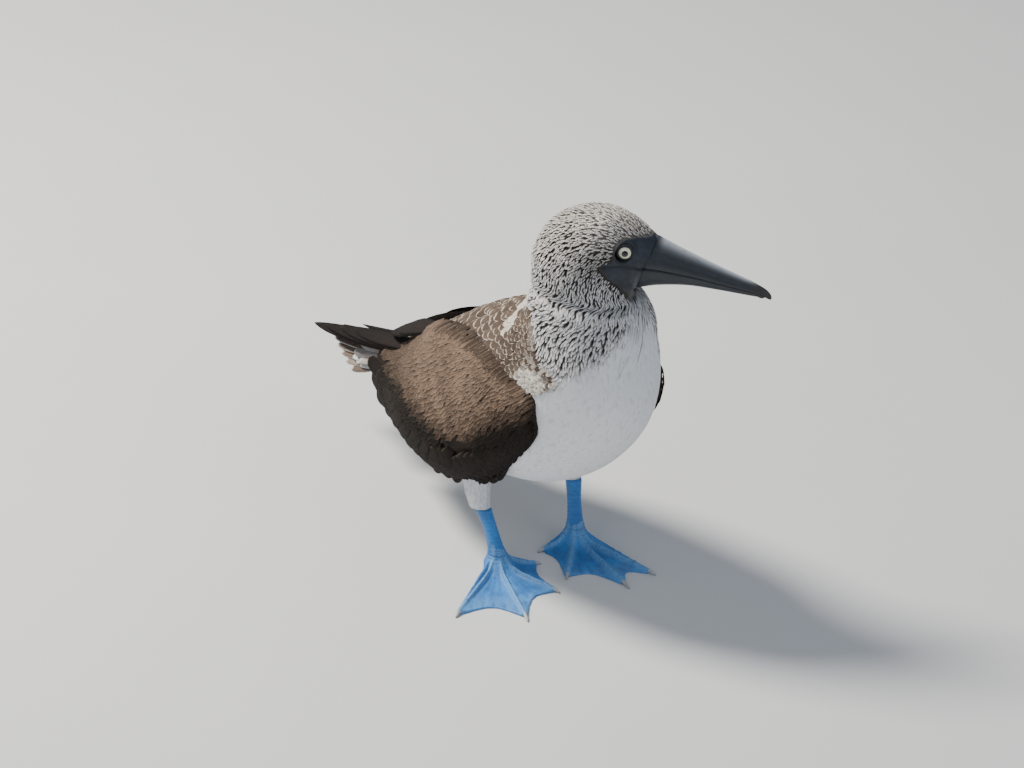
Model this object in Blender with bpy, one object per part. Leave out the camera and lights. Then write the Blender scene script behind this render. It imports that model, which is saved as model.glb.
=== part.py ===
"""A blue-footed booby, standing, as a life-size museum model. Run with: blender --background --python part.py

The bird faces -Y, its left side is +X and +Z is up. It stands on flat feet, its head turned to its left.
Skin and feathers are solid masses here, divided where the body's parts meet: head, neck, torso, tail, wings, thighs,
tarsi, feet, claws, bill and eyes. Each part keeps the thin gap GAP to the one that it grows from.

The sizes below are in millimetres, measured from a point between the ankles, with the soles at FLOOR. mesh_object turns each
shape into metres, and place_on_origin then moves them all, so that the bounding box stands on the origin.
"""

import math

import bmesh
import bpy
import numpy as np
from mathutils import Matrix, Vector
from mathutils.bvhtree import BVHTree

MM = 0.001
GAP = 0.3
BODY_SIDES = 32
LIMB_SIDES = 16
BODY_STEPS, LIMB_STEPS, FEATHER_EDGE_STEPS = 2, 3, 8
BILL_SIDES = 24
CLAW_SIDES = 8
SHARP_EDGE = math.radians(40)
LEFT, RIGHT = 1, -1
SIDE_NAMES = {LEFT: "left", RIGHT: "right"}
UP = Vector((0, 0, 1))

# The trunk's profile on its middle plane, from the rump to the neck: the point on the back (y, z), the point on the
# belly or breast (y, z), the half width there, and how high between the two the body is widest.
TORSO_STATIONS = [
    ((207, 112), (201, 89), 15, 0.50),
    ((186, 126), (170, 82), 28, 0.50),
    ((150, 148), (128, 76), 42, 0.50),
    ((112, 172), (86, 71), 54, 0.50),
    ((76, 196), (44, 70.5), 62, 0.50),
    ((42, 215), (6, 75), 67, 0.50),
    ((14, 228), (-32, 85), 67.5, 0.51),
    ((-4, 238), (-67, 103.5), 65, 0.52),
    ((-13, 245), (-97, 128), 60.5, 0.53),
    ((-18, 251), (-120, 156), 56.5, 0.53),
    ((-21, 256), (-130, 186), 53, 0.52),
    ((-23, 262), (-127, 215), 49.5, 0.51),
]
# The neck goes on from there, still in the body's middle plane.
NECK_STATIONS = [
    ((-23, 262), (-127, 215), 49.5, 0.51),
    ((-24, 268), (-121, 239), 47.5, 0.50),
    ((-24, 275), (-111, 256), 43.5, 0.50),
]
# The head turns about the neck's axis. Its profile is measured forward from that axis, with the height: a fan of
# sections about the corner under the chin, from the nape over the crown to the root of the bill.
NECK_AXIS_Y = -65
HEAD_TURN = math.radians(46)
HEAD_STATIONS = [
    ((-41, 280), (40, 260), 41, 0.50),
    ((-40, 297), (38, 264), 40.5, 0.50),
    ((-32, 314), (37, 266), 39, 0.50),
    ((-18, 326.5), (37, 267), 36.5, 0.51),
    ((0, 333), (37.2, 267.6), 34, 0.52),
    ((18, 333), (37.6, 268.2), 31, 0.52),
    ((34, 327), (38, 268.8), 27, 0.51),
    ((47, 319), (38.5, 269.2), 21.5, 0.50),
    ((55.4, 312.5), (39, 269.5), 15.5, 0.50),
]
# The bill, from its root to its tip: culmen point, lower edge, half width, height of the mouth line between them.
BILL_STATIONS = [
    ((55.4, 312.5), (39, 269.5), 15.5, 0.50),
    ((70, 305.5), (56, 273), 12.6, 0.48),
    ((90, 296.5), (79, 274.5), 9.8, 0.45),
    ((110, 288), (101, 272.5), 7.4, 0.43),
    ((127, 281), (120, 270.0), 5.2, 0.42),
    ((137, 276), (133, 268.3), 3.4, 0.42),
]
BILL_TIP = (143.5, 266.5)
LOWER_BILL_TIP = (139.0, 268.6)
# The mouth's line goes on into the head as a groove, from the bill back to behind the eye.
MOUTH_LINE = [(46.8, 291.2), (41, 295), (31, 298), (20, 298.8), (14, 297.5)]
MOUTH_HALF_HEIGHT, MOUTH_DEPTH = 0.35, 1.3
# The eyeball's centre, forward of the neck's axis, above the floor and out from the head's middle plane. The lids are
# a ring round it, as far out as the edge of what shows of the eye.
EYE_FORWARD, EYE_HEIGHT, EYE_SIDE, EYE_RADIUS = 33, 308, 20.6, 7.2
LID_RADIUS, LID_THICKNESS, LID_OUT = 6.0, 1.1, 4.2

# The folded wing's outer surface, section by section from the wrist back, for the left wing: y, its upper edge
# (x, z), its lower edge (x, z), and how far it bulges outward between them.
WING_STATIONS = [
    (-80, (56, 183), (54, 166), 1),
    (-77, (58, 189), (55, 158), 4),
    (-68, (58, 195), (54, 146), 8),
    (-50, (58, 201), (52, 127), 13),
    (-24, (57, 207), (49, 104), 19),
    (5, (50, 206), (47, 82), 24),
    (45, (41, 201), (45, 64), 27),
    (82, (38, 190), (43, 56), 24),
    (112, (34, 169), (41, 57), 20),
    (140, (30, 147), (38, 60), 14),
    (164, (28, 131), (35, 65), 9),
    (190, (27, 121), (32, 76), 5),
    (206, (26, 113), (30, 92), 2),
]
WING_SURFACE_STEPS = 6
# The left wing's wrist is held further forward and outward than the right one's.
WRIST_REACH = {LEFT: (1, -9), RIGHT: (0, 0)}
WING_ROUND, WING_ROUND_POWER = 2.4, 0.75
# The wing's core carries the feathers. Under them it lies deeper and ends short of their tips.
CORE_END_Y, CORE_SECTIONS, CORE_POINTS = 176, 16, 9
CORE_EDGE, CORE_DEPTH = 3.0, 13
CORE_LEAST_DEPTH, CORE_DEPTH_BULGE = 0.35, 20
CORE_RECESS, CORE_INSET = 5.4, 24
RECESS_REACH, RECESS_RAMP = 44, 10
RECESS_START_Y, RECESS_START_RAMP = -30, 36
# The free edge of the folded wing, where the secondaries end, from the tail to the breast: y and z of the tip, and
# how steeply the feather points down there, in degrees.
SECONDARY_TIPS = [
    (209, 101, 8),
    (198, 78, 20),
    (166, 64, 34),
    (122, 57, 42),
    (80, 56, 46),
    (40, 64, 49),
    (4, 82, 50),
    (-12, 93, 50),
]
SECONDARY_COUNT, SECONDARY_LENGTH, SECONDARY_HALF_WIDTH, SECONDARY_RISE = 11, 58, 13.5, -2.4
COVERT_COUNT, COVERT_LENGTH, COVERT_HALF_WIDTH, COVERT_RISE = 8, 42, 15, 1.3
COVERT_SET_BACK = 26
FEATHER_ROLL, FEATHER_SINK = 0.12, 7.5
# The primaries of the folded wing show as a dagger over the tail, the left one's crossing under the right one's.
# Each wing: the way its flat sides face, how far the feathers sag, and their tips from the longest on, with x
# measured out to its own side. Each feather lies over the one before it.
PRIMARY_ROOT, PRIMARY_STEP = (27, 128, 139), (0.4, 0, 2.4)
PRIMARIES = {
    RIGHT: ((0.45, 0.2, 0.87), 0, [(13, 329, 88), (15, 306, 95.5), (16, 280, 103.5), (17, 254, 111.5)]),
    LEFT: ((0.05, 0.2, 0.97), 6, [(-6, 318, 89), (-3, 296, 96.5), (1, 270, 105.5)]),
}
PRIMARY_HALF_WIDTH = 9
TERTIAL_ROOT, TERTIAL_STEP = (34, 96, 176), (0.5, 0, 2.2)
TERTIAL_TIPS = [(15, 194, 133), (22, 170, 146)]
TERTIAL_HALF_WIDTH, TERTIAL_SAG = 12, -3
TERTIAL_NORMAL = (0.45, 0.2, 0.87)
FEATHER_ROOT_THICKNESS, FEATHER_TIP_THICKNESS, FEATHER_EDGE = 1.3, 0.8, 0.6
FEATHER_STEPS = (0.0, 0.25, 0.6, 0.88, 1.0)
FEATHER_ROOT_WIDTH, FEATHER_WIDEST, FEATHER_BLUNTNESS = 0.45, 0.65, 0.12
FEATHER_CAMBER = 0.12

# The tail's roof-shaped wedge: its core, then pairs of feathers, each pair shorter, lower and further out.
TAIL_CORE = [
    ((207, 112), (201, 89), 15, 0.50),
    ((222, 105), (219, 89), 15.5, 0.50),
    ((240, 100), (239, 87), 16, 0.50),
    ((258, 95), (258, 88), 13, 0.50),
]
TAIL_PAIRS = 5
TAIL_ROOT_Y, TAIL_ROOT_Z, TAIL_DROP = 212, 103, 0.15
TAIL_LONGEST_Y, TAIL_SHORTEST_Y = 306, 242
TAIL_ROOT_HALF, TAIL_ROOT_SPREAD, TAIL_TIP_HALF, TAIL_TIP_SPREAD = 1, 8, 4, 23
TAIL_LENGTH_POWER = 1.2
TAIL_PAIR_DROP, TAIL_SIDE_DROP, TAIL_TIP_DROP, TAIL_ROLL = 1.9, 0.95, 7, 0.45
TAIL_HALF_WIDTH = 10

# The leg on the left side: x, y, height over the sole and the half sizes across and along of each section.
TARSUS = [(40, 1, 14, 7.4, 8.0), (41, 2.7, 22, 6.0, 7.0), (43, 7, 37, 5.2, 6.4), (46, 12.5, 53, 6.4, 7.4)]
THIGH = [(46, 17, 53, 9.0, 10.6), (45.5, 21, 64, 10.6, 13.0), (43, 26, 80, 12.5, 16.6), (38, 30, 100, 14.0, 20.0)]
# Where each foot stands, and how far it is turned outward.
ANKLES = {LEFT: (42.5, 5.5), RIGHT: (-36.5, 3.5)}
FOOT_TURNS = {LEFT: -6, RIGHT: 18}
# Each toe: its angle outward from the third toe, its length, and its claw's length.
TOES = [("hallux", -85, 32, 5), ("2", -35, 60, 6), ("3", 0, 81, 10), ("4", 0, 80, 7)]
FOURTH_TOE = {LEFT: 20, RIGHT: 38}
FLOOR = -2.6
HUB_HEIGHT, HUB_RADIUS, HUB_SLOPE, HUB_SHAPE = 14, 7.6, 6.5, 1.3
HEEL_RADIUS = 11
TOE_TIP_HALF_WIDTH, TOE_ROOT_ANGLE = 2.0, 8
TOE_HEIGHT, TOE_TIP_HEIGHT, TOE_SIDE_HEIGHT = 7.0, 4.2, 2.5
WEB_HEIGHT, WEB_EDGE_HEIGHT, WEB_HOLLOW = 1.8, 1.4, 0.16
WEB_SHARES = (0.2, 0.4, 0.6, 0.8)
HEEL_SHARES = (0.12, 0.28, 0.42, 0.56, 0.70, 0.85)
SPOKE_SHARES = (0, 0.06, 0.14, 0.26, 0.42, 0.6, 0.8, 1)
CLAW_RADIUS, CLAW_TAPER, CLAW_FLOOR_GAP = 1.8, 0.75, 0.2
CLAW_SHARES = (0, 0.3, 0.6, 0.85)

COLOURS = {
    "streaked_feather": ((0.62, 0.60, 0.56), 0.85),
    "body_feather": ((0.70, 0.70, 0.70), 0.85),
    "wing_feather": ((0.10, 0.07, 0.05), 0.8),
    "tail_feather": ((0.35, 0.31, 0.27), 0.8),
    "bill_horn": ((0.13, 0.15, 0.17), 0.45),
    "eye_surface": ((0.75, 0.74, 0.60), 0.1),
    "foot_skin": ((0.10, 0.33, 0.62), 0.55),
    "claw_horn": ((0.35, 0.38, 0.40), 0.5),
}


def clear_scene():
    for obj in list(bpy.data.objects):
        bpy.data.objects.remove(obj)


def material(name):
    found = bpy.data.materials.get(name)
    if found:
        return found
    made = bpy.data.materials.new(name)
    made.use_nodes = True
    shader = made.node_tree.nodes["Principled BSDF"]
    colour, roughness = COLOURS[name]
    shader.inputs["Base Color"].default_value = (*colour, 1)
    shader.inputs["Roughness"].default_value = roughness
    shader.inputs["Metallic"].default_value = 0
    made.diffuse_color = (*colour, 1)
    return made


def circle(sides):
    """The cosine and sine of each corner of a regular polygon."""
    return [(math.cos(2 * math.pi * k / sides), math.sin(2 * math.pi * k / sides)) for k in range(sides)]


def smoothstep(value):
    value = min(max(value, 0.0), 1.0)
    return value * value * (3 - 2 * value)


def smooth_rows(rows, steps):
    """Rows of numbers read from a smooth curve through the given rows, steps to each stretch."""
    rows = np.array(rows, float)
    padded = np.vstack([2 * rows[0] - rows[1], rows, 2 * rows[-1] - rows[-2]])
    found = []
    for i in range(len(rows) - 1):
        a, b, c, d = padded[i : i + 4]
        for t in np.arange(steps) / steps:
            slope = (c - a) * t
            bend = (2 * a - 5 * b + 4 * c - d) * t**2
            turn = (3 * b - a - 3 * c + d) * t**3
            found.append(b + 0.5 * (slope + bend + turn))
    found.append(rows[-1])
    return np.array(found)


def flat_rows(stations):
    return [(*top, *bottom, half_width, middle) for top, bottom, half_width, middle in stations]


def body_row(row):
    """A row of the trunk, whose profile is given in y and z, turned into lengths forward of the neck's axis."""
    top_y, top_z, bottom_y, bottom_z, half_width, middle = row
    return (NECK_AXIS_Y - top_y, top_z, NECK_AXIS_Y - bottom_y, bottom_z, half_width, middle)


def across(turn):
    """The direction to the bird's left of a middle plane that is turned by turn about the neck's axis."""
    return Vector((math.cos(turn), math.sin(turn), 0))


def on_plane(forward, height, turn=0.0, side=0.0):
    """A point measured forward from the neck's axis on the plane turned by turn, and sideways to the bird's left."""
    ahead = Vector((math.sin(turn), -math.cos(turn), 0))
    return Vector((0, NECK_AXIS_Y, height)) + ahead * forward + across(turn) * side


def section(row, turn, grow=0.0):
    """A closed egg-shaped section between the top and bottom points of a row."""
    top_a, top_z, bottom_a, bottom_z, half_width, middle = row
    top = on_plane(top_a, top_z, turn)
    bottom = on_plane(bottom_a, bottom_z, turn)
    up = (top - bottom).normalized()
    centre = bottom.lerp(top, middle)
    rise = (top - centre).length + grow
    drop = (centre - bottom).length + grow
    points = []
    for cosine, sine in circle(BODY_SIDES):
        tall = rise if sine > 0 else drop
        points.append(centre + across(turn) * (half_width + grow) * cosine + up * tall * sine)
    return points


def loft(name, rings, end_tip=None):
    """A closed skin over rings with the same number of points. Flat faces close the ends, or a tip point the last."""
    bm = bmesh.new()
    rows = [[bm.verts.new(point) for point in ring] for ring in rings]
    count = len(rows[0])
    for ring, after in zip(rows, rows[1:]):
        for k in range(count):
            bm.faces.new((ring[k], ring[(k + 1) % count], after[(k + 1) % count], after[k]))
    bm.faces.new(rows[0])
    if end_tip is None:
        bm.faces.new(rows[-1])
    else:
        tip = bm.verts.new(end_tip)
        for k in range(count):
            bm.faces.new((rows[-1][k], rows[-1][(k + 1) % count], tip))
    return mesh_object(name, bm)


def mesh_object(name, bm):
    """Makes an object, in metres, from a closed mesh that was worked in millimetres."""
    bmesh.ops.scale(bm, vec=(MM, MM, MM), verts=bm.verts)
    bmesh.ops.recalc_face_normals(bm, faces=bm.faces)
    mesh = bpy.data.meshes.new(name)
    bm.to_mesh(mesh)
    bm.free()
    obj = bpy.data.objects.new(name, mesh)
    PARTS.objects.link(obj)
    return obj


def finish_part(obj, material_name):
    obj.data.materials.clear()
    obj.data.materials.append(material(material_name))
    obj.data.shade_smooth()
    obj.data.set_sharp_from_angle(angle=SHARP_EDGE)


def spaced(rings):
    """Moves the first ring along by the gap, so that the two parts that share it don't touch."""
    here, after = (sum(ring, Vector()) / len(ring) for ring in rings[:2])
    step = (after - here).normalized() * GAP
    return [[point + step for point in rings[0]]] + rings[1:]


def apply_modifiers(obj):
    graph = bpy.context.evaluated_depsgraph_get()
    mesh = bpy.data.meshes.new_from_object(obj.evaluated_get(graph))
    obj.modifiers.clear()
    obj.data = mesh


def cut(obj, cutter, solver="EXACT"):
    """Cuts the cutter's form out of obj, and removes the cutter."""
    modifier = obj.modifiers.new("cut", "BOOLEAN")
    modifier.operation = "DIFFERENCE"
    modifier.solver = solver
    modifier.object = cutter
    apply_modifiers(obj)
    bpy.data.objects.remove(cutter)
    keep_largest(obj)


def fuse(obj, pieces):
    """Joins the pieces to obj by one Boolean union, and keeps the largest closed surface."""
    group = bpy.data.collections.new("fused_pieces")
    bpy.context.scene.collection.children.link(group)
    for piece in pieces:
        group.objects.link(piece)
        PARTS.objects.unlink(piece)
    modifier = obj.modifiers.new("union", "BOOLEAN")
    modifier.operation = "UNION"
    modifier.solver = "EXACT"
    modifier.operand_type = "COLLECTION"
    modifier.collection = group
    apply_modifiers(obj)
    for piece in pieces:
        bpy.data.objects.remove(piece)
    bpy.data.collections.remove(group)
    keep_largest(obj)


def keep_largest(obj):
    """Keeps the largest closed surface of obj."""
    bm = bmesh.new()
    bm.from_mesh(obj.data)
    unseen = set(bm.faces)
    pieces = []
    while unseen:
        queue = [unseen.pop()]
        piece = list(queue)
        while queue:
            for edge in queue.pop().edges:
                for face in edge.link_faces:
                    if face in unseen:
                        unseen.discard(face)
                        piece.append(face)
                        queue.append(face)
        pieces.append(piece)
    pieces.sort(key=lambda piece: sum(face.calc_area() for face in piece))
    for piece in pieces[:-1]:
        bmesh.ops.delete(bm, geom=piece, context="FACES")
    bm.to_mesh(obj.data)
    bm.free()


def torso_rings(grow=0.0):
    rows = [body_row(row) for row in smooth_rows(flat_rows(TORSO_STATIONS), BODY_STEPS)]
    return [section(row, 0, grow) for row in rows]


def make_trunk():
    """The torso, the neck, which takes up the head's turn ring by ring, and the head."""
    finish_part(loft("torso", torso_rings()), "body_feather")
    head_rows = smooth_rows(flat_rows(HEAD_STATIONS), BODY_STEPS)
    neck_rows = smooth_rows([*(body_row(row) for row in flat_rows(NECK_STATIONS)), head_rows[0]], BODY_STEPS)
    turns = np.linspace(0, HEAD_TURN, len(neck_rows))
    neck = [section(row, turn) for row, turn in zip(neck_rows, turns)]
    finish_part(loft("neck", spaced(neck)), "streaked_feather")
    head = loft("head", spaced([section(row, HEAD_TURN) for row in head_rows]))
    make_eyes(head)
    cut_mouth_line(head)
    finish_part(head, "streaked_feather")


def ball(name, centre, radius):
    bm = bmesh.new()
    bmesh.ops.create_uvsphere(bm, u_segments=16, v_segments=10, radius=radius)
    bmesh.ops.translate(bm, verts=bm.verts, vec=centre)
    return mesh_object(name, bm)


def lid_ring(centre, out):
    """A ring round what shows of the eye."""
    turn = UP.rotation_difference(out).to_euler()
    bpy.ops.mesh.primitive_torus_add(
        major_radius=LID_RADIUS * MM,
        minor_radius=LID_THICKNESS * MM,
        major_segments=20,
        minor_segments=8,
        location=(centre + out * LID_OUT) * MM,
        rotation=turn,
    )
    ring = bpy.context.object
    for holder in list(ring.users_collection):
        holder.objects.unlink(ring)
    PARTS.objects.link(ring)
    return ring


def make_eyes(head):
    """The eyeballs, their sockets in the head, and the lids round them."""
    for side in (LEFT, RIGHT):
        centre = on_plane(EYE_FORWARD, EYE_HEIGHT, HEAD_TURN, side * EYE_SIDE)
        fuse(head, [lid_ring(centre, across(HEAD_TURN) * side)])
        cut(head, ball("socket", centre, EYE_RADIUS + GAP))
        finish_part(ball(f"eye_{SIDE_NAMES[side]}", centre, EYE_RADIUS), "eye_surface")


def cut_mouth_line(head):
    """Cuts the mouth's groove into each side of the head, to a set depth below its surface."""
    mesh = head.data
    tree = BVHTree.FromPolygons([v.co / MM for v in mesh.vertices], [p.vertices for p in mesh.polygons])
    for side in (LEFT, RIGHT):
        inward = across(HEAD_TURN) * -side
        rings = []
        for forward, height in smooth_rows(MOUTH_LINE, BODY_STEPS):
            far_out = on_plane(forward, height, HEAD_TURN, side * 2 * EYE_SIDE)
            skin = tree.ray_cast(far_out, inward)[0]
            deep, proud = skin + inward * MOUTH_DEPTH, skin - inward * MOUTH_DEPTH
            rise = UP * MOUTH_HALF_HEIGHT
            rings.append([deep, proud - rise, proud + rise])
        beyond = [2 * here - after for here, after in zip(rings[0], rings[1])]
        cut(head, loft("mouth", [beyond, *rings]))


def bill_ring(row, upper):
    """Half of the bill's section, above or below the mouth line."""
    top_a, top_z, bottom_a, bottom_z, half_width, middle = row
    top = on_plane(top_a, top_z, HEAD_TURN)
    bottom = on_plane(bottom_a, bottom_z, HEAD_TURN)
    up = (top - bottom).normalized()
    centre = bottom.lerp(top, middle) + up * (GAP / 2 if upper else -GAP / 2)
    tall = ((top if upper else bottom) - centre).dot(up)
    half = circle(BILL_SIDES)[: BILL_SIDES // 2 + 1]
    return [centre + across(HEAD_TURN) * half_width * cosine + up * tall * sine for cosine, sine in half]


def make_bill():
    rows = smooth_rows(flat_rows(BILL_STATIONS), BODY_STEPS)
    for name, upper, tip in (("bill_upper", True, BILL_TIP), ("bill_lower", False, LOWER_BILL_TIP)):
        rings = [bill_ring(row, upper) for row in rows]
        finish_part(loft(name, spaced(rings), end_tip=on_plane(*tip, HEAD_TURN)), "bill_horn")


def grown_torso():
    """The trunk's form, larger by the gap all round, to fit other parts to."""
    rings = torso_rings(GAP)
    start, end = (sum(ring, Vector()) / len(ring) for ring in (rings[0], rings[-1]))
    rings[0] = [point + (start - end).normalized() * GAP for point in rings[0]]
    return loft("cutter", rings)


class WingSurface:
    """A folded wing's outer surface, as on the left: x from y and z, read from a smooth curve through its stations."""

    def __init__(self, side):
        out, ahead = WRIST_REACH[side]
        rows = []
        for y, upper, lower, bulge in WING_STATIONS:
            share = max(0, y / WING_STATIONS[0][0])
            rows.append((y + ahead * share, upper[0] + out * share, upper[1], lower[0] + out * share, lower[1], bulge))
        self.table = smooth_rows(rows, WING_SURFACE_STEPS)

    def edges(self, y):
        """The upper edge's x and z, the lower edge's x and z, and the bulge."""
        return [np.interp(y, self.table[:, 0], self.table[:, k]) for k in range(1, 6)]

    def x(self, y, z):
        upper_x, upper_z, lower_x, lower_z, bulge = self.edges(y)
        down = (upper_z - z) / (upper_z - lower_z)
        swell = max(0.0, 1 - abs(2 * down - 1) ** WING_ROUND) ** WING_ROUND_POWER
        return upper_x + (lower_x - upper_x) * down + bulge * swell

    def place(self, y, z):
        """The point and the outward direction there."""
        slope_y = (self.x(y + 1, z) - self.x(y - 1, z)) / 2
        slope_z = (self.x(y, z + 1) - self.x(y, z - 1)) / 2
        return Vector((self.x(y, z), y, z)), Vector((1, -slope_y, -slope_z)).normalized()


def core_section(surface, y):
    """One section of the wing's core: its outer arc, which lies deeper under the feathers, and an inner arc."""
    upper_z, lower_z, bulge = (surface.edges(y)[k] for k in (1, 3, 4))
    behind = smoothstep((y - RECESS_START_Y) / RECESS_START_RAMP)
    bottom_z = lower_z + CORE_INSET * behind * min(1.0, (upper_z - lower_z) / RECESS_REACH)
    depth = CORE_DEPTH * min(1.0, CORE_LEAST_DEPTH + bulge / CORE_DEPTH_BULGE)
    outer, inner = [], []
    for k in range(CORE_POINTS):
        down = 0.5 - 0.5 * math.cos(math.pi * k / (CORE_POINTS - 1))
        z = upper_z + (bottom_z - upper_z) * down
        x = surface.x(y, z) - CORE_RECESS * behind * smoothstep((RECESS_REACH - (z - lower_z)) / RECESS_RAMP)
        outer.append(Vector((x, y, z)))
        inner.append(Vector((x - CORE_EDGE - depth * math.sin(math.pi * down), y, z + CORE_EDGE * (0.5 - down))))
    return outer + inner[::-1]


def feather_width(t):
    """Half the width of a flight feather's vane along its length, as a share of the widest."""
    if t < FEATHER_WIDEST:
        return FEATHER_ROOT_WIDTH + (1 - FEATHER_ROOT_WIDTH) * math.sin(math.pi / 2 * t / FEATHER_WIDEST)
    past = (t - FEATHER_WIDEST) / (1 - FEATHER_WIDEST)
    return max(FEATHER_BLUNTNESS, math.sqrt(max(0.0, 1 - past**2)))


def vane(place, half_width):
    """A flight feather as a closed blade. place gives the point and outward direction at t along and w across."""
    bm = bmesh.new()
    rings = []
    for t in FEATHER_STEPS:
        ridge = FEATHER_ROOT_THICKNESS + (FEATHER_TIP_THICKNESS - FEATHER_ROOT_THICKNESS) * t
        upper, lower = [], []
        for w, thick in ((-1, FEATHER_EDGE), (0, ridge), (1, FEATHER_EDGE)):
            point, out = place(t, w * half_width * feather_width(t))
            upper.append(bm.verts.new(point + out * thick / 2))
            lower.append(bm.verts.new(point - out * thick / 2))
        rings.append((upper, lower))
    for (upper, lower), (next_upper, next_lower) in zip(rings, rings[1:]):
        for k in range(2):
            for near, far in ((upper, next_upper), (lower, next_lower)):
                bm.faces.new((near[k], near[k + 1], far[k + 1]))
                bm.faces.new((near[k], far[k + 1], far[k]))
        for k in (0, 2):
            bm.faces.new((upper[k], next_upper[k], next_lower[k]))
            bm.faces.new((upper[k], next_lower[k], lower[k]))
    for upper, lower in (rings[0], rings[-1]):
        for k in range(2):
            bm.faces.new((upper[k], upper[k + 1], lower[k + 1]))
            bm.faces.new((upper[k], lower[k + 1], lower[k]))
    return mesh_object("vane", bm)


def surface_vane(surface, tip, steepness, length, half_width, rise):
    """A vane that lies along the wing at a height over its surface, with its root sunk into the wing."""
    along = Vector((math.cos(steepness), -math.sin(steepness)))
    sideways = Vector((along.y, -along.x))

    def place(t, w):
        spot = Vector(tip) - along * length * (1 - t) + sideways * w
        point, out = surface.place(*spot)
        sink = (FEATHER_SINK + rise) * max(0.0, 1 - t / FEATHER_STEPS[1])
        return point + out * (rise + FEATHER_ROLL * w - sink), out

    return vane(place, half_width)


def straight_vane(root, tip, out, half_width, sag=0.0):
    """A vane from root to tip whose flat side faces out, bent down by sag at the middle."""
    root, tip, out = Vector(root), Vector(tip), Vector(out)
    along = (tip - root).normalized()
    sideways = along.cross(out).normalized()
    out = sideways.cross(along)

    def place(t, w):
        drop = FEATHER_CAMBER * abs(w) + sag * 4 * t * (1 - t)
        return root.lerp(tip, t) + sideways * w - out * drop, out

    return vane(place, half_width)


def wing_vanes(surface, side):
    """The flight feathers and greater coverts of a folded wing, in tiers, made as for the left one."""
    edge = smooth_rows(SECONDARY_TIPS, FEATHER_EDGE_STEPS)
    travelled = np.concatenate([[0], np.cumsum(np.linalg.norm(np.diff(edge[:, :2], axis=0), axis=1))])

    def edge_row(share):
        y, z, steep = (np.interp(share * travelled[-1], travelled, edge[:, k]) for k in range(3))
        return y, z, math.radians(steep)

    made = []
    for k in range(SECONDARY_COUNT):
        y, z, steep = edge_row(k / (SECONDARY_COUNT - 1))
        sizes = (SECONDARY_LENGTH, SECONDARY_HALF_WIDTH, SECONDARY_RISE)
        made.append(surface_vane(surface, (y, z), steep, *sizes))
    for k in range(COVERT_COUNT):
        y, z, steep = edge_row((k + 0.5) / COVERT_COUNT)
        tip = (y - COVERT_SET_BACK * math.cos(steep), z + COVERT_SET_BACK * math.sin(steep))
        made.append(surface_vane(surface, tip, steep, COVERT_LENGTH, COVERT_HALF_WIDTH, COVERT_RISE))
    normal, sag, tips = PRIMARIES[side]
    for k, tip in enumerate(tips):
        root = Vector(PRIMARY_ROOT) + Vector(PRIMARY_STEP) * k
        made.append(straight_vane(root, tip, normal, PRIMARY_HALF_WIDTH, sag))
    for k, tip in enumerate(TERTIAL_TIPS):
        root = Vector(TERTIAL_ROOT) + Vector(TERTIAL_STEP) * k
        made.append(straight_vane(root, tip, TERTIAL_NORMAL, TERTIAL_HALF_WIDTH, TERTIAL_SAG))
    return made


def make_wing(side):
    """A folded wing, made as the left one, mirrored for the right, and cut clear of the trunk and the thigh."""
    surface = WingSurface(side)
    places = np.linspace(surface.table[0, 0], CORE_END_Y, CORE_SECTIONS)
    wing = loft(f"wing_{SIDE_NAMES[side]}", [core_section(surface, y) for y in places])
    fuse(wing, wing_vanes(surface, side))
    if side == RIGHT:
        wing.data.transform(Matrix.Scale(-1, 4, (1, 0, 0)))
        wing.data.flip_normals()
    cut(wing, grown_torso(), "MANIFOLD")
    cut(wing, limb("cutter", raised(THIGH, FLOOR), side, GAP), "MANIFOLD")
    finish_part(wing, "wing_feather")


def make_tail():
    """The tail's core and its feathers, a roof that falls away to both sides."""
    rings = [section(body_row(row), 0) for row in smooth_rows(flat_rows(TAIL_CORE), BODY_STEPS)]
    tail = loft("tail", spaced(rings))
    vanes = []
    for k in range(TAIL_PAIRS):
        share = k / (TAIL_PAIRS - 1)
        end_y = TAIL_LONGEST_Y + (TAIL_SHORTEST_Y - TAIL_LONGEST_Y) * share**TAIL_LENGTH_POWER
        for side in (LEFT, RIGHT):
            height = TAIL_ROOT_Z - TAIL_PAIR_DROP * k - (TAIL_SIDE_DROP if side == LEFT else 0)
            end_height = height - TAIL_DROP * (end_y - TAIL_ROOT_Y) - TAIL_TIP_DROP * share
            root = (side * (TAIL_ROOT_HALF + TAIL_ROOT_SPREAD * share), TAIL_ROOT_Y, height)
            tip = (side * (TAIL_TIP_HALF + TAIL_TIP_SPREAD * share), end_y, end_height)
            vanes.append(straight_vane(root, tip, (side * TAIL_ROLL * share, TAIL_DROP, 1), TAIL_HALF_WIDTH))
    fuse(tail, vanes)
    finish_part(tail, "tail_feather")


def limb(name, rows, side, grow=0.0):
    """A length of the leg over its foot's ankle: oval level sections."""
    foot_x, foot_y = TARSUS[0][:2]
    shift = Vector((ANKLES[side][0] - side * foot_x, ANKLES[side][1] - foot_y, 0))
    rings = []
    for x, y, z, half_across, half_along in smooth_rows(rows, LIMB_STEPS):
        centre = Vector((side * x, y, z)) + shift
        sizes = [(cosine * (half_across + grow), sine * (half_along + grow), 0) for cosine, sine in circle(LIMB_SIDES)]
        rings.append([centre + Vector(size) for size in sizes])
    return loft(name, rings)


def raised(rows, lift):
    return [(x, y, z + lift, half_across, half_along) for x, y, z, half_across, half_along in rows]


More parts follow.
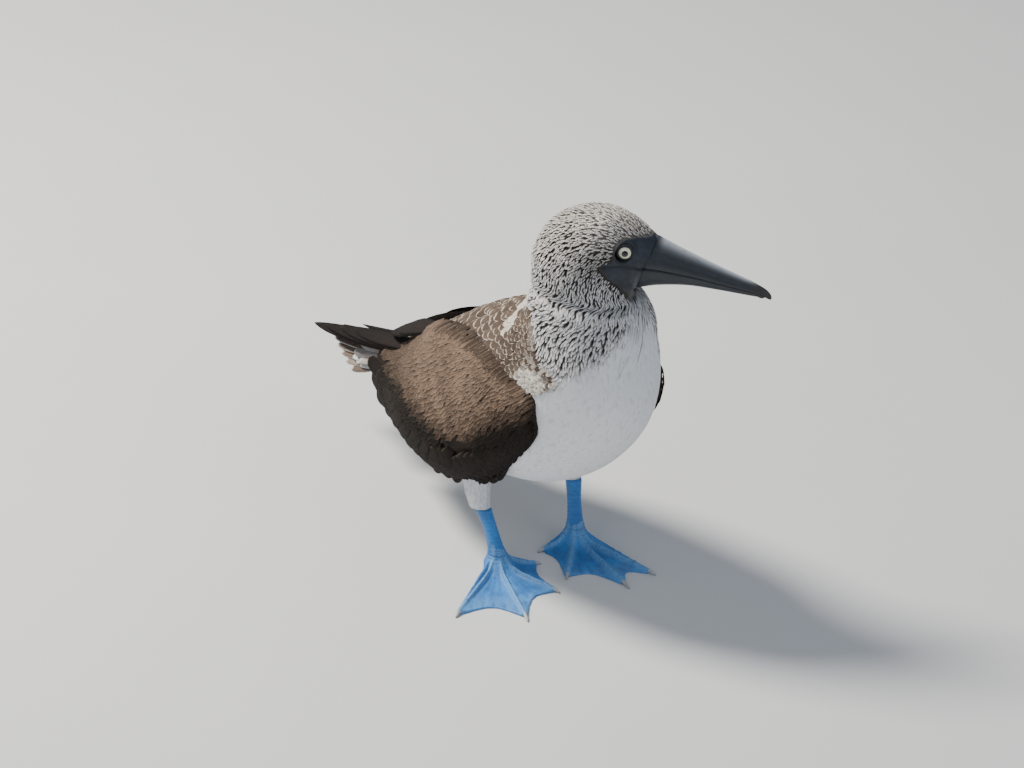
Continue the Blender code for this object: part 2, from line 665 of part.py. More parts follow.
def make_legs():
    for side in (LEFT, RIGHT):
        tarsus = limb(f"tarsus_{SIDE_NAMES[side]}", raised(TARSUS, FLOOR + GAP), side)
        finish_part(tarsus, "foot_skin")
        thigh = limb(f"thigh_{SIDE_NAMES[side]}", raised(THIGH, FLOOR + 2 * GAP), side)
        cut(thigh, grown_torso())
        finish_part(thigh, "body_feather")
        make_foot(side)


def foot_direction(side, angle):
    """The level direction at an angle outward from the third toe."""
    turned = math.radians(angle + FOOT_TURNS[side])
    return Vector((side * math.sin(turned), -math.cos(turned), 0))


def toes(side):
    return [(name, FOURTH_TOE[side] if name == "4" else angle, *sizes) for name, angle, *sizes in TOES]


def foot_spokes(side):
    """Lines from the ankle's hub to the foot's outline: (inner point, outer point, height at the hub, at the rim)."""
    centre = Vector((*ANKLES[side], FLOOR))
    spokes = []

    def spoke(angle, outer, base, tip):
        spokes.append((centre + foot_direction(side, angle) * HUB_RADIUS, outer, base, tip))

    tips = []
    for _, angle, length, _ in toes(side):
        end = centre + foot_direction(side, angle) * length
        aside = foot_direction(side, angle + 90) * TOE_TIP_HALF_WIDTH
        tips.append((angle, end - aside, end, end + aside))
    for k, (angle, inner_side, end, outer_side) in enumerate(tips):
        spoke(angle - TOE_ROOT_ANGLE, inner_side, WEB_HEIGHT, TOE_SIDE_HEIGHT)
        spoke(angle, end, TOE_HEIGHT, TOE_TIP_HEIGHT)
        spoke(angle + TOE_ROOT_ANGLE, outer_side, WEB_HEIGHT, TOE_SIDE_HEIGHT)
        if k + 1 < len(tips):
            start_angle, end_angle = angle + TOE_ROOT_ANGLE, tips[k + 1][0] - TOE_ROOT_ANGLE
            for share in WEB_SHARES:
                straight = outer_side.lerp(tips[k + 1][1], share)
                hollow = 1 - WEB_HOLLOW * math.sin(math.pi * share)
                rim = centre + (straight - centre) * hollow
                spoke(start_angle + (end_angle - start_angle) * share, rim, WEB_HEIGHT, WEB_EDGE_HEIGHT)
    last, first = tips[-1][0], tips[0][0] + 360
    for share in HEEL_SHARES:
        angle = last + (first - last) * share
        spoke(angle, centre + foot_direction(side, angle) * HEEL_RADIUS, TOE_TIP_HEIGHT, WEB_HEIGHT)
    return centre, spokes


def make_foot(side):
    """A webbed foot: ridges along the toes, thin skin between them, a hub under the ankle and a flat sole."""
    centre, spokes = foot_spokes(side)
    bm = bmesh.new()
    rows = []
    for share in SPOKE_SHARES:
        row = []
        for inner, outer, base, tip in spokes:
            point = inner.lerp(outer, share)
            away = max(0.0, (point - centre).length - HUB_RADIUS)
            hub = (HUB_HEIGHT - base) * math.exp(-((away / HUB_SLOPE) ** HUB_SHAPE))
            row.append(bm.verts.new(point + UP * (base + (tip - base) * share + hub)))
        rows.append(row)
    rows.append([bm.verts.new(outer) for _, outer, _, _ in spokes])
    count = len(spokes)
    for row, after in zip(rows, rows[1:]):
        for k in range(count):
            bm.faces.new((row[k], row[(k + 1) % count], after[(k + 1) % count], after[k]))
    bm.faces.new(rows[0])
    bm.faces.new(rows[-1])
    finish_part(mesh_object(f"foot_{SIDE_NAMES[side]}", bm), "foot_skin")
    for name, angle, length, claw_length in toes(side):
        make_claw(f"claw_{SIDE_NAMES[side]}_{name}", centre, foot_direction(side, angle), length, claw_length)


def make_claw(name, centre, ahead, toe_length, claw_length):
    """A claw: rounds that shrink down to a blunt point just above the floor."""
    sideways = ahead.cross(UP)
    rings = []
    for share in CLAW_SHARES:
        radius = CLAW_RADIUS * (1 - CLAW_TAPER * share)
        height = CLAW_FLOOR_GAP + CLAW_RADIUS + (radius - CLAW_RADIUS) * share
        middle = centre + ahead * (toe_length + GAP + claw_length * share) + UP * height
        rings.append([middle + (sideways * cosine + UP * sine) * radius for cosine, sine in circle(CLAW_SIDES)])
    tip = centre + ahead * (toe_length + claw_length) + UP * 2 * CLAW_FLOOR_GAP
    finish_part(loft(name, rings, end_tip=tip), "claw_horn")


def place_on_origin():
    """Parents every part to an empty that puts the bottom centre of their bounding box on the origin."""
    points = np.array([v.co for obj in PARTS.objects for v in obj.data.vertices])
    low, high = points.min(axis=0), points.max(axis=0)
    holder = bpy.data.objects.new("booby_frame", None)
    holder.location = (-(low[0] + high[0]) / 2, -(low[1] + high[1]) / 2, -low[2])
    for obj in PARTS.objects:
        obj.parent = holder
    PARTS.objects.link(holder)


clear_scene()
PARTS = bpy.data.collections.new("blue_footed_booby")
bpy.context.scene.collection.children.link(PARTS)
make_trunk()
make_bill()
make_legs()
make_wing(LEFT)
make_wing(RIGHT)
make_tail()
place_on_origin()
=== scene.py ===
"""The looks of a blue-footed booby, a life-size standing model: skin, feathers, bill, eyes, legs and claws.

Shapes are worked in millimetres in the bird's own measures: it faces -Y, its left side is +X, and the point
between its ankles lies near the origin. to_frame turns them into the frame's metres.
"""

import math

import bmesh
import bpy
import numpy as np
from mathutils import Matrix, Vector


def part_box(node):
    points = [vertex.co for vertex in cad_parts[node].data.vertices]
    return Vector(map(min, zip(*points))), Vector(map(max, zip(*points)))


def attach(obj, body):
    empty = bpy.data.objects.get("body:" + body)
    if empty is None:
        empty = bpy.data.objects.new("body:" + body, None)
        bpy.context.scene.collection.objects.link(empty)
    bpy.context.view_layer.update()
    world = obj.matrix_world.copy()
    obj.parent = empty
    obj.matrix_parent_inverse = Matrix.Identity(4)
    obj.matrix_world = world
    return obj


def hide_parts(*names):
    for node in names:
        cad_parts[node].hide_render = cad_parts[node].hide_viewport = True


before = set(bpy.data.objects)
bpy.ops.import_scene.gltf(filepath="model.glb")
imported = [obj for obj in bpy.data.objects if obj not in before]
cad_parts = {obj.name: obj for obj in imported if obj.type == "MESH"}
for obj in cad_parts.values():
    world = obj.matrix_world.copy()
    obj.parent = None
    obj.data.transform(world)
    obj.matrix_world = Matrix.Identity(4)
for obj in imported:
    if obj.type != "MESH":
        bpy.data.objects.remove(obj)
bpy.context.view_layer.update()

MM = 0.001
LEFT, RIGHT = 1, -1
SIDE_NAMES = {LEFT: "left", RIGHT: "right"}
RANDOM = np.random.default_rng(7)

# The camera stands where the photograph was taken from: the ground between the feet lies at this pixel.
IMAGE_SIZE = (1024, 768)
CAMERA_AZIMUTH, CAMERA_ELEVATION = math.radians(-34), math.radians(26)
CAMERA_DISTANCE, MM_PER_PIXEL = 2600, 0.82
AIM_POINT, AIM_PIXEL = (0, 0, 12), (536.5, 542.5)
SENSOR_MM = 36

# The trunk's profile on its middle plane, from the rump to the neck: the point on the back (y, z), the point
# on the belly or breast (y, z), the half width, and how high between the two the body is widest.
TORSO_STATIONS = [
    ((207, 112), (201, 89), 15, 0.50),
    ((186, 126), (170, 82), 28, 0.50),
    ((150, 148), (128, 76), 42, 0.50),
    ((112, 172), (86, 71), 54, 0.50),
    ((76, 196), (44, 70.5), 62, 0.50),
    ((42, 215), (6, 75), 67, 0.50),
    ((14, 228), (-32, 85), 67.5, 0.51),
    ((-4, 238), (-67, 103.5), 65, 0.52),
    ((-13, 245), (-97, 128), 60.5, 0.53),
    ((-18, 251), (-120, 156), 56.5, 0.53),
    ((-21, 256), (-130, 186), 53, 0.52),
    ((-23, 262), (-127, 215), 49.5, 0.51),
    ((-24, 268), (-121, 239), 47.5, 0.50),
    ((-24, 275), (-111, 256), 43.5, 0.50),
]
NECK_STATION_TURNS = {12: 1 / 3, 13: 2 / 3}
# The head's profile is measured forward from the neck's axis, with the height, on the head's turned plane.
NECK_AXIS_Y = -65
HEAD_TURN = math.radians(46)
HEAD_STATIONS = [
    ((-41, 280), (40, 260), 41, 0.50),
    ((-40, 297), (38, 264), 40.5, 0.50),
    ((-32, 314), (37, 266), 39, 0.50),
    ((-18, 326.5), (37, 267), 36.5, 0.51),
    ((0, 333), (37.2, 267.6), 34, 0.52),
    ((18, 333), (37.6, 268.2), 31, 0.52),
    ((34, 327), (38, 268.8), 27, 0.51),
    ((47, 319), (38.5, 269.2), 21.5, 0.50),
    ((55.4, 312.5), (39, 269.5), 15.5, 0.50),
]
TORSO_STEPS, NECK_STEPS, HEAD_STEPS = 7, 10, 16
TRUNK_SIDES = 224
BILL_STATIONS = [
    ((55.4, 312.5), (39, 269.5), 15.5, 0.50),
    ((70, 305.5), (56, 273), 12.6, 0.48),
    ((90, 296.5), (79, 274.5), 9.8, 0.45),
    ((110, 288), (101, 272.5), 7.4, 0.43),
    ((127, 281), (120, 270.0), 5.2, 0.42),
    ((137, 276), (133, 268.3), 3.4, 0.42),
]
BILL_TIP, LOWER_BILL_TIP = (143.5, 266.5), (139.0, 268.6)
MOUTH_LINE = [(46.8, 291.2), (41, 295), (31, 298), (20, 298.8), (14, 297.5)]
EYE_FORWARD, EYE_HEIGHT, EYE_RADIUS = 33, 308, 7.2
# The bare skin of the face, seen from the side: forward of the neck's axis and the height.
FACE_OUTLINE = [
    (62, 318), (50, 314.5), (44, 316.2), (36, 317.2), (31, 316.5), (27.5, 312), (26.5, 306), (27.5, 303.2),
    (22, 301), (16.5, 299), (18, 295), (22, 290), (26.5, 285.5), (31, 279), (34.5, 272), (35.5, 266),
    (62, 262),
]

# The folded wing's outer surface, section by section from the wrist back, for the left wing: y, upper edge
# (x, z), lower edge (x, z), and how far it bulges outward between them.
WING_STATIONS = [
    (-80, (56, 183), (54, 166), 1),
    (-77, (58, 189), (55, 158), 4),
    (-68, (58, 195), (54, 146), 8),
    (-50, (58, 201), (52, 127), 13),
    (-24, (57, 207), (49, 104), 19),
    (5, (50, 206), (47, 82), 24),
    (45, (41, 201), (45, 64), 27),
    (82, (38, 190), (43, 56), 24),
    (112, (34, 169), (41, 57), 20),
    (140, (30, 147), (38, 60), 14),
    (164, (28, 131), (35, 65), 9),
    (190, (27, 121), (32, 76), 5),
    (206, (26, 113), (30, 92), 2),
]
WRIST_REACH = {LEFT: (1, -9), RIGHT: (0, 0)}


def eye_centre(side):
    low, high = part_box(f"eye_{SIDE_NAMES[side]}")
    return (np.array(low) + np.array(high)) / 2 / MM


def across(turn):
    return np.array([math.cos(turn), math.sin(turn), 0.0])


def ahead(turn):
    return np.array([math.sin(turn), -math.cos(turn), 0.0])


def on_head(forward, height, side=0.0):
    return np.array([0, NECK_AXIS_Y, height]) + ahead(HEAD_TURN) * forward + across(HEAD_TURN) * side


OFFSET = (eye_centre(LEFT) + eye_centre(RIGHT)) / 2 - on_head(EYE_FORWARD, EYE_HEIGHT)
FLOOR = -OFFSET[2]


def to_frame(points):
    return (np.asarray(points, float) + OFFSET) * MM


def smoothstep(value, start=0.0, end=1.0):
    share = np.clip((np.asarray(value, float) - start) / (end - start), 0, 1)
    return share * share * (3 - 2 * share)


def unit(vectors):
    return vectors / np.maximum(np.linalg.norm(vectors, axis=-1, keepdims=True), 1e-9)


def bell(value, width):
    """One at zero, falling smoothly to nothing on both sides."""
    return np.exp(-((value / width) ** 2))


def circle(count):
    """Even angles round a full turn."""
    return np.arange(count) / count * 2 * math.pi


def smooth_rows(rows, steps):
    """Rows read from a smooth curve through the given rows. steps is the number of rows to each stretch."""
    rows = np.array(rows, float)
    if np.ndim(steps) == 0:
        steps = [steps] * (len(rows) - 1)
    padded = np.vstack([2 * rows[0] - rows[1], rows, 2 * rows[-1] - rows[-2]])
    found = []
    for i, count in enumerate(steps):
        a, b, c, d = padded[i : i + 4]
        for t in np.arange(count) / count:
            slope, bend = (c - a) * t, (2 * a - 5 * b + 4 * c - d) * t**2
            found.append(b + 0.5 * (slope + bend + (3 * b - a - 3 * c + d) * t**3))
    found.append(rows[-1])
    return np.array(found)


def waves(points, seed, length, octaves=3):
    """Smooth noise from -1 to 1 over points, as sines in random directions whose longest wave is length."""
    draws = np.random.default_rng(seed)
    total, weight = np.zeros(points.shape[:-1]), 0.0
    for octave in range(octaves):
        for _ in range(4):
            way = unit(draws.normal(size=points.shape[-1])) * 2 * math.pi / length * 1.9**octave
            total += np.sin(points @ way + draws.uniform(0, 2 * math.pi)) * 0.6**octave
            weight += 0.6**octave
    return total / weight * 2


class Surface:
    """A grid of points read smoothly between its rows (u) and columns (v). A round one closes along v."""

    def __init__(self, points, is_round, inside=None):
        self.points, self.round = points, is_round
        self.rows, self.columns = points.shape[:2]
        if is_round:
            padded = np.concatenate([points[:, -1:], points, points[:, :1]], axis=1)
            self.by_v = (padded[:, 2:] - padded[:, :-2]) / 2
        else:
            self.by_v = np.gradient(points, axis=1)
        self.by_u = np.gradient(points, axis=0)
        self.normals = unit(np.cross(self.by_u, self.by_v))
        middle = points.mean(axis=1, keepdims=True) if inside is None else np.array(inside)
        if np.sum(self.normals * (points - middle)) < 0:
            self.normals = -self.normals

    def at(self, u, v):
        """Points, normals and the two slopes at places of the grid."""
        u = np.clip(u, 0, self.rows - 1.001)
        v = v % self.columns if self.round else np.clip(v, 0, self.columns - 1.001)
        i, j = np.floor(u).astype(int), np.floor(v).astype(int)
        j = np.minimum(j, self.columns - 1)
        after = (j + 1) % self.columns
        a, b = (u - i)[..., None], (v - j)[..., None]
        found = []
        for grid in (self.points, self.normals, self.by_u, self.by_v):
            near = grid[i, j] * (1 - b) + grid[i, after] * b
            far = grid[i + 1, j] * (1 - b) + grid[i + 1, after] * b
            found.append(near * (1 - a) + far * a)
        found[1] = unit(found[1])
        return found

    def bake_uv(self, u, v):
        """The place of a point of the grid on its unwrap."""
        return np.stack([0.02 + 0.96 * (v % self.columns if self.round else v) / self.columns,
                         0.02 + 0.96 * u / self.rows], axis=-1)

    def unwrap(self):
        """The places of all points of the grid on its unwrap, and then of its two ends."""
        u, v = np.meshgrid(np.arange(self.rows), np.arange(self.columns), indexing="ij")
        return np.concatenate([self.bake_uv(u, v).reshape(-1, 2), [[0.5, 0.01], [0.5, 0.99]]])


def trunk_surface():
    """The whole form of the torso, neck and head, as one tube from the rump to the root of the bill."""
    rows = []
    for k, (top, bottom, half_width, middle) in enumerate(TORSO_STATIONS):
        turn = HEAD_TURN * NECK_STATION_TURNS.get(k, 0)
        back, belly = (NECK_AXIS_Y - top[0], top[1]), (NECK_AXIS_Y - bottom[0], bottom[1])
        rows.append((*back, *belly, half_width, middle, turn))
    for top, bottom, half_width, middle in HEAD_STATIONS:
        rows.append((*top, *bottom, half_width, middle, HEAD_TURN))
    neck_at = len(TORSO_STATIONS) - 3
    steps = [TORSO_STEPS] * neck_at + [NECK_STEPS] * 3 + [HEAD_STEPS] * (len(HEAD_STATIONS) - 1)
    angles = circle(TRUNK_SIDES) - math.pi / 2
    cosines, sines = np.cos(angles)[:, None], np.sin(angles)[:, None]
    grid = []
    for top_a, top_z, bottom_a, bottom_z, half_width, middle, turn in smooth_rows(rows, steps):
        top = np.array([0, NECK_AXIS_Y, top_z]) + ahead(turn) * top_a
        bottom = np.array([0, NECK_AXIS_Y, bottom_z]) + ahead(turn) * bottom_a
        up = unit(top - bottom)
        centre = bottom + (top - bottom) * middle
        tall = np.where(sines > 0, np.linalg.norm(top - centre), np.linalg.norm(centre - bottom))
        grid.append(centre + across(turn) * half_width * cosines + up * tall * sines)
    return Surface(np.array(grid), True)


def head_place(points):
    """Forward, height and side of points, measured on the head's turned plane."""
    away = points - np.array([0, NECK_AXIS_Y, 0])
    return away @ ahead(HEAD_TURN), away[..., 2], away @ across(HEAD_TURN)


def outline_distance(outline, x, y):
    """The distance of points from a closed outline, less than zero inside it."""
    corners = np.array(outline, float)
    nearest = np.full(np.shape(x), 1e9)
    inside = np.zeros(np.shape(x), bool)
    for (ax, ay), (bx, by) in zip(corners, np.roll(corners, -1, axis=0)):
        ex, ey = bx - ax, by - ay
        along = np.clip(((x - ax) * ex + (y - ay) * ey) / (ex * ex + ey * ey), 0, 1)
        nearest = np.minimum(nearest, np.hypot(x - ax - along * ex, y - ay - along * ey))
        crosses = ((ay > y) != (by > y)) & (x < ex * (y - ay) / (ey if ey else 1e-9) + ax)
        inside ^= crosses
    return np.where(inside, -nearest, nearest)


def face_distance(points):
    """How far points lie outside the bare skin of the face, in millimetres; less than zero on it."""
    forward, height, _ = head_place(points)
    return outline_distance(FACE_OUTLINE, forward, height) + 0.5 * waves(points, 11, 9)


# Materials


def new_material(name):
    made = bpy.data.materials.new(name)
    made.use_nodes = True
    return made, made.node_tree, made.node_tree.nodes["Principled BSDF"]


def feed(tree, node, inputs):
    """Links the inputs that are sockets and sets the others."""
    for key, value in dict(inputs).items():
        if isinstance(value, bpy.types.NodeSocket):
            tree.links.new(value, node.inputs[key])
        else:
            node.inputs[key].default_value = value
    return node


def add(tree, kind, inputs=(), **settings):
    made = tree.nodes.new(kind)
    for key, value in settings.items():
        setattr(made, key, value)
    return feed(tree, made, inputs)


def maths(tree, operation, first, second=0.0):
    return add(tree, "ShaderNodeMath", {0: first, 1: second}, operation=operation).outputs[0]


def times(tree, first, second):
    return maths(tree, "MULTIPLY", first, second)


def attribute(tree, name, output="Fac"):
    return add(tree, "ShaderNodeAttribute", attribute_name=name).outputs[output]


def parts(tree, name):
    """The three numbers of a vector attribute."""
    return add(tree, "ShaderNodeSeparateXYZ", {0: attribute(tree, name, "Vector")}).outputs


def vector(tree, x, y, z=0.0):
    return add(tree, "ShaderNodeCombineXYZ", {0: x, 1: y, 2: z}).outputs[0]


def mix(tree, share, first, second, blend_type="MIX"):
    """Two colours mixed. On this node, inputs 0, 6 and 7 are the share and the two colours."""
    first, second = ((*colour, 1) if isinstance(colour, tuple) else colour for colour in (first, second))
    made = add(tree, "ShaderNodeMix", {0: share, 6: first, 7: second}, data_type="RGBA",
               blend_type=blend_type, clamp_factor=True)
    return made.outputs[2]


def ramp(tree, value, low, high, start=0.0, end=1.0):
    """value from low to high, turned smoothly into start to end."""
    inputs = {"Value": value, "From Min": low, "From Max": high, "To Min": start, "To Max": end}
    return add(tree, "ShaderNodeMapRange", inputs, interpolation_type="SMOOTHSTEP").outputs["Result"]


def noise(tree, vector, scale, detail=3.0, roughness=0.55):
    inputs = {"Vector": vector, "Scale": scale, "Detail": detail, "Roughness": roughness}
    return add(tree, "ShaderNodeTexNoise", inputs).outputs["Fac"]


def bump(tree, shader, height, strength, distance):
    made = add(tree, "ShaderNodeBump", {"Height": height, "Strength": strength, "Distance": distance})
    tree.links.new(made.outputs["Normal"], shader.inputs["Normal"])


def place(tree):
    return add(tree, "ShaderNodeTexCoord").outputs["Object"]


def feather_material(name, edge_colour, edge_start, roughness, barb_bump, barb_contrast, shaft_colour=None):
    """A feather's vane: its tint, a paler or darker edge, barbs that run out from the shaft, a shaft."""
    made, tree, shader = new_material(name)
    across_share, along_share, draw = parts(tree, "vane")
    sideways, along, _ = parts(tree, "vane_mm")
    aside = maths(tree, "ABSOLUTE", sideways)
    barb_start = maths(tree, "SUBTRACT", along, aside)
    barbs_at = vector(tree, times(tree, barb_start, 1.5), times(tree, aside, 0.12), times(tree, draw, 97.0))
    barbs = noise(tree, barbs_at, 1.0, 2.0)
    rounded = maths(tree, "SUBTRACT", along_share, 0.05)
    reach = maths(tree, "MAXIMUM", maths(tree, "ABSOLUTE", across_share), rounded)
    ragged = maths(tree, "ADD", reach, times(tree, maths(tree, "SUBTRACT", barbs, 0.5), 0.07))
    edge = times(tree, ramp(tree, ragged, edge_start, edge_start + 0.05), attribute(tree, "edge"))
    colour = mix(tree, edge, attribute(tree, "tint", "Color"), edge_colour)
    shade = ramp(tree, barbs, 0.25, 0.75, 1 - barb_contrast, 1 + barb_contrast)
    grey = add(tree, "ShaderNodeCombineColor", {0: shade, 1: shade, 2: shade}).outputs[0]
    colour = mix(tree, 1.0, colour, grey, "MULTIPLY")
    if shaft_colour:
        shaft = ramp(tree, aside, 0.75, 0.35)
        colour = mix(tree, times(tree, shaft, attribute(tree, "shaft")), colour, shaft_colour)
    feed(tree, shader, {"Base Color": colour, "Roughness": roughness, "Specular IOR Level": 0.12})
    bump(tree, shader, barbs, barb_bump, 0.0004)
    return made


def skin_material():
    """The feathered body's skin, tinted as its coat, and the bare slate skin of the face."""
    made, tree, shader = new_material("booby_skin")
    spot = place(tree)
    cells = add(tree, "ShaderNodeTexVoronoi", {"Vector": spot, "Scale": 900.0}, feature="F1")
    pebbles = cells.outputs["Distance"]
    cloud = noise(tree, spot, 120.0)
    patchy = mix(tree, ramp(tree, cloud, 0.35, 0.65), (0.75, 0.78, 0.82), (1.2, 1.2, 1.2))
    colour = mix(tree, 1.0, attribute(tree, "tint", "Color"), patchy, "MULTIPLY")
    rough = ramp(tree, attribute(tree, "bare"), 0.2, 0.8, 0.85, 0.5)
    feed(tree, shader, {"Base Color": colour, "Roughness": rough, "Specular IOR Level": 0.4})
    bump(tree, shader, maths(tree, "ADD", times(tree, pebbles, 0.5), cloud), 0.5, 0.0005)
    return made


def horn_material(name, base, nail, painted_sheen, roughness):
    """Horn in long fine streaks, a darker end, a painted sheen, and painted shade in the gap between the
    bill's halves.
    """
    made, tree, shader = new_material(name)
    around, along, _ = parts(tree, "vane")
    streaks = noise(tree, vector(tree, times(tree, around, 14.0), times(tree, along, 5.0)), 2.0, 5.0, 0.6)
    cloud = noise(tree, place(tree), 160.0, 4.0)
    colour = mix(tree, ramp(tree, cloud, 0.3, 0.7), base, tuple(0.7 * part for part in base))
    # A painted sheen: pale streaks where the edge attribute asks, standing in for reflected light.
    painted_shine = times(tree, attribute(tree, "edge"), ramp(tree, streaks, 0.2, 0.5, 0.55, 1.0))
    colour = mix(tree, painted_shine, colour, painted_sheen)
    colour = mix(tree, ramp(tree, along, 0.74, 0.95), colour, nail)
    # Painted shade, near black, in the gap between the bill's halves, where the bare attribute asks.
    colour = mix(tree, attribute(tree, "bare"), colour, (0.012, 0.014, 0.016))
    feed(tree, shader, {"Base Color": colour, "Roughness": roughness, "Specular IOR Level": 0.5})
    bump(tree, shader, maths(tree, "ADD", streaks, times(tree, cloud, 0.6)), 0.35, 0.0006)
    return made


def foot_material():
    """Blue foot skin: paler on ridges and joints, with painted shade in the creases, and a fine net of scales.
    """
    made, tree, shader = new_material("booby_foot_skin")
    spot = place(tree)
    cells = add(tree, "ShaderNodeTexVoronoi", {"Vector": spot, "Scale": 620.0}, feature="DISTANCE_TO_EDGE")
    net = ramp(tree, cells.outputs["Distance"], 0.02, 0.12)
    cloud = noise(tree, spot, 70.0, 4.0)
    colour = mix(tree, ramp(tree, cloud, 0.3, 0.7), (0.028, 0.15, 0.42), (0.05, 0.24, 0.60))
    colour = mix(tree, times(tree, attribute(tree, "edge"), 0.75), colour, (0.22, 0.46, 0.72))
    # Painted shade in the creases, where the bare attribute asks.
    colour = mix(tree, times(tree, attribute(tree, "bare"), 0.8), colour, (0.02, 0.09, 0.26))
    colour = mix(tree, ramp(tree, net, 0.0, 1.0, 0.3, 0.0), colour, (0.02, 0.10, 0.28))
    rough = ramp(tree, cloud, 0.3, 0.7, 0.42, 0.62)
    feed(tree, shader, {"Base Color": colour, "Roughness": rough, "Specular IOR Level": 0.35,
                        "Subsurface Weight": 0.06, "Subsurface Radius": (0.4, 0.6, 1.0),
                        "Subsurface Scale": 0.002})
    bump(tree, shader, maths(tree, "ADD", times(tree, net, 0.6), cloud), 0.45, 0.0005)
    return made


def eye_material():
    """Pupil, pale iris with fine rays and a dark rim, then dark, by the distance from the eye's axis."""
    made, tree, shader = new_material("booby_eye")
    out, turn, _ = parts(tree, "vane")
    rays = noise(tree, vector(tree, times(tree, turn, 40.0), times(tree, out, 3.0)), 1.0, 3.0)
    iris = mix(tree, rays, (0.62, 0.60, 0.38), (0.86, 0.86, 0.70))
    iris = mix(tree, ramp(tree, out, 0.56, 0.51), iris, (0.30, 0.28, 0.16))
    colour = mix(tree, ramp(tree, out, 0.505, 0.485), iris, (0.004, 0.004, 0.005))
    colour = mix(tree, ramp(tree, out, 0.93, 1.0), colour, (0.02, 0.025, 0.03))
    feed(tree, shader, {"Base Color": colour, "Roughness": 0.06, "Coat Weight": 0.15, "Coat Roughness": 0.03})
    return made


# Meshes

FEATHER_ON_UNWRAP = 0.0015
NEIGHBOURS = [(i, j, k) for i in (-1, 0, 1) for j in (-1, 0, 1) for k in (-1, 0, 1)]


def put(name, data):
    made = bpy.data.objects.new(name, data)
    bpy.context.scene.collection.objects.link(made)
    return made


def new_piece(name, points, faces, material, slot, replaces=(), bake_uv=None, **attributes):
    """A piece that rides on the body. faces are all triangles or all quads. Attributes are one row a point."""
    mesh = bpy.data.meshes.new(name)
    mesh.vertices.add(len(points))
    mesh.vertices.foreach_set("co", to_frame(points).astype(np.float32).ravel())
    mesh.loops.add(faces.size)
    mesh.loops.foreach_set("vertex_index", faces.astype(np.int32).ravel())
    mesh.polygons.add(len(faces))
    mesh.polygons.foreach_set("loop_start", np.arange(len(faces), dtype=np.int32) * faces.shape[1])
    mesh.update(calc_edges=True)
    mesh.polygons.foreach_set("use_smooth", np.ones(len(faces), bool))
    if bake_uv is not None:
        layer = mesh.uv_layers.new(name="OFBake")
        layer.data.foreach_set("uv", bake_uv[faces.ravel()].astype(np.float32).ravel())
    add_attributes(mesh, attributes)
    mesh.materials.append(material)
    return declare(put(name, mesh), replaces)


def add_attributes(mesh, attributes):
    for key, values in attributes.items():
        values = np.asarray(values, np.float32)
        if values.ndim == 1:
            mesh.attributes.new(key, "FLOAT", "POINT").data.foreach_set("value", values)
        elif key == "tint":
            colours = np.concatenate([values, np.ones((len(values), 1), np.float32)], axis=1)
            mesh.attributes.new(key, "FLOAT_COLOR", "POINT").data.foreach_set("color", colours.ravel())
        else:
            mesh.attributes.new(key, "FLOAT_VECTOR", "POINT").data.foreach_set("vector", values.ravel())


def declare(obj, replaces=()):
    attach(obj, "root")
    if replaces:
        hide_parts(*replaces)
    return obj


def grid_faces(rows, columns, is_round):
    i = np.arange(rows - 1)[:, None]
    j = np.arange(columns if is_round else columns - 1)[None, :]
    after = (j + 1) % columns
    quads = [i * columns + j, i * columns + after, (i + 1) * columns + after, (i + 1) * columns + j]
    return np.stack([np.broadcast_to(q, (rows - 1, j.shape[1])) for q in quads], axis=-1).reshape(-1, 4)


def with_triangles(quads, triangles=()):
    """Quads split into triangles, with more triangles after them."""
    split = np.concatenate([quads[:, [0, 1, 2]], quads[:, [0, 2, 3]]])
    return np.concatenate([split, np.array(triangles, int).reshape(-1, 3)])


def fan(ring, tip):
    ring = np.asarray(ring)
    return np.stack([ring, np.roll(ring, -1), np.full(len(ring), tip)], axis=-1)


def closed_tube(grid, end=None):
    """The points and triangles of a tube, shut to a point at each end. end is the last point if given."""
    rows, columns = grid.shape[:2]
    last = (rows - 1) * columns
    ends = [grid[0].mean(axis=0), grid[-1].mean(axis=0) if end is None else end]
    first_ring, last_ring = np.arange(columns)[::-1], np.arange(columns) + last
    caps = [*fan(first_ring, last + columns), *fan(last_ring, last + columns + 1)]
    return np.concatenate([grid.reshape(-1, 3), ends]), with_triangles(grid_faces(rows, columns, True), caps)


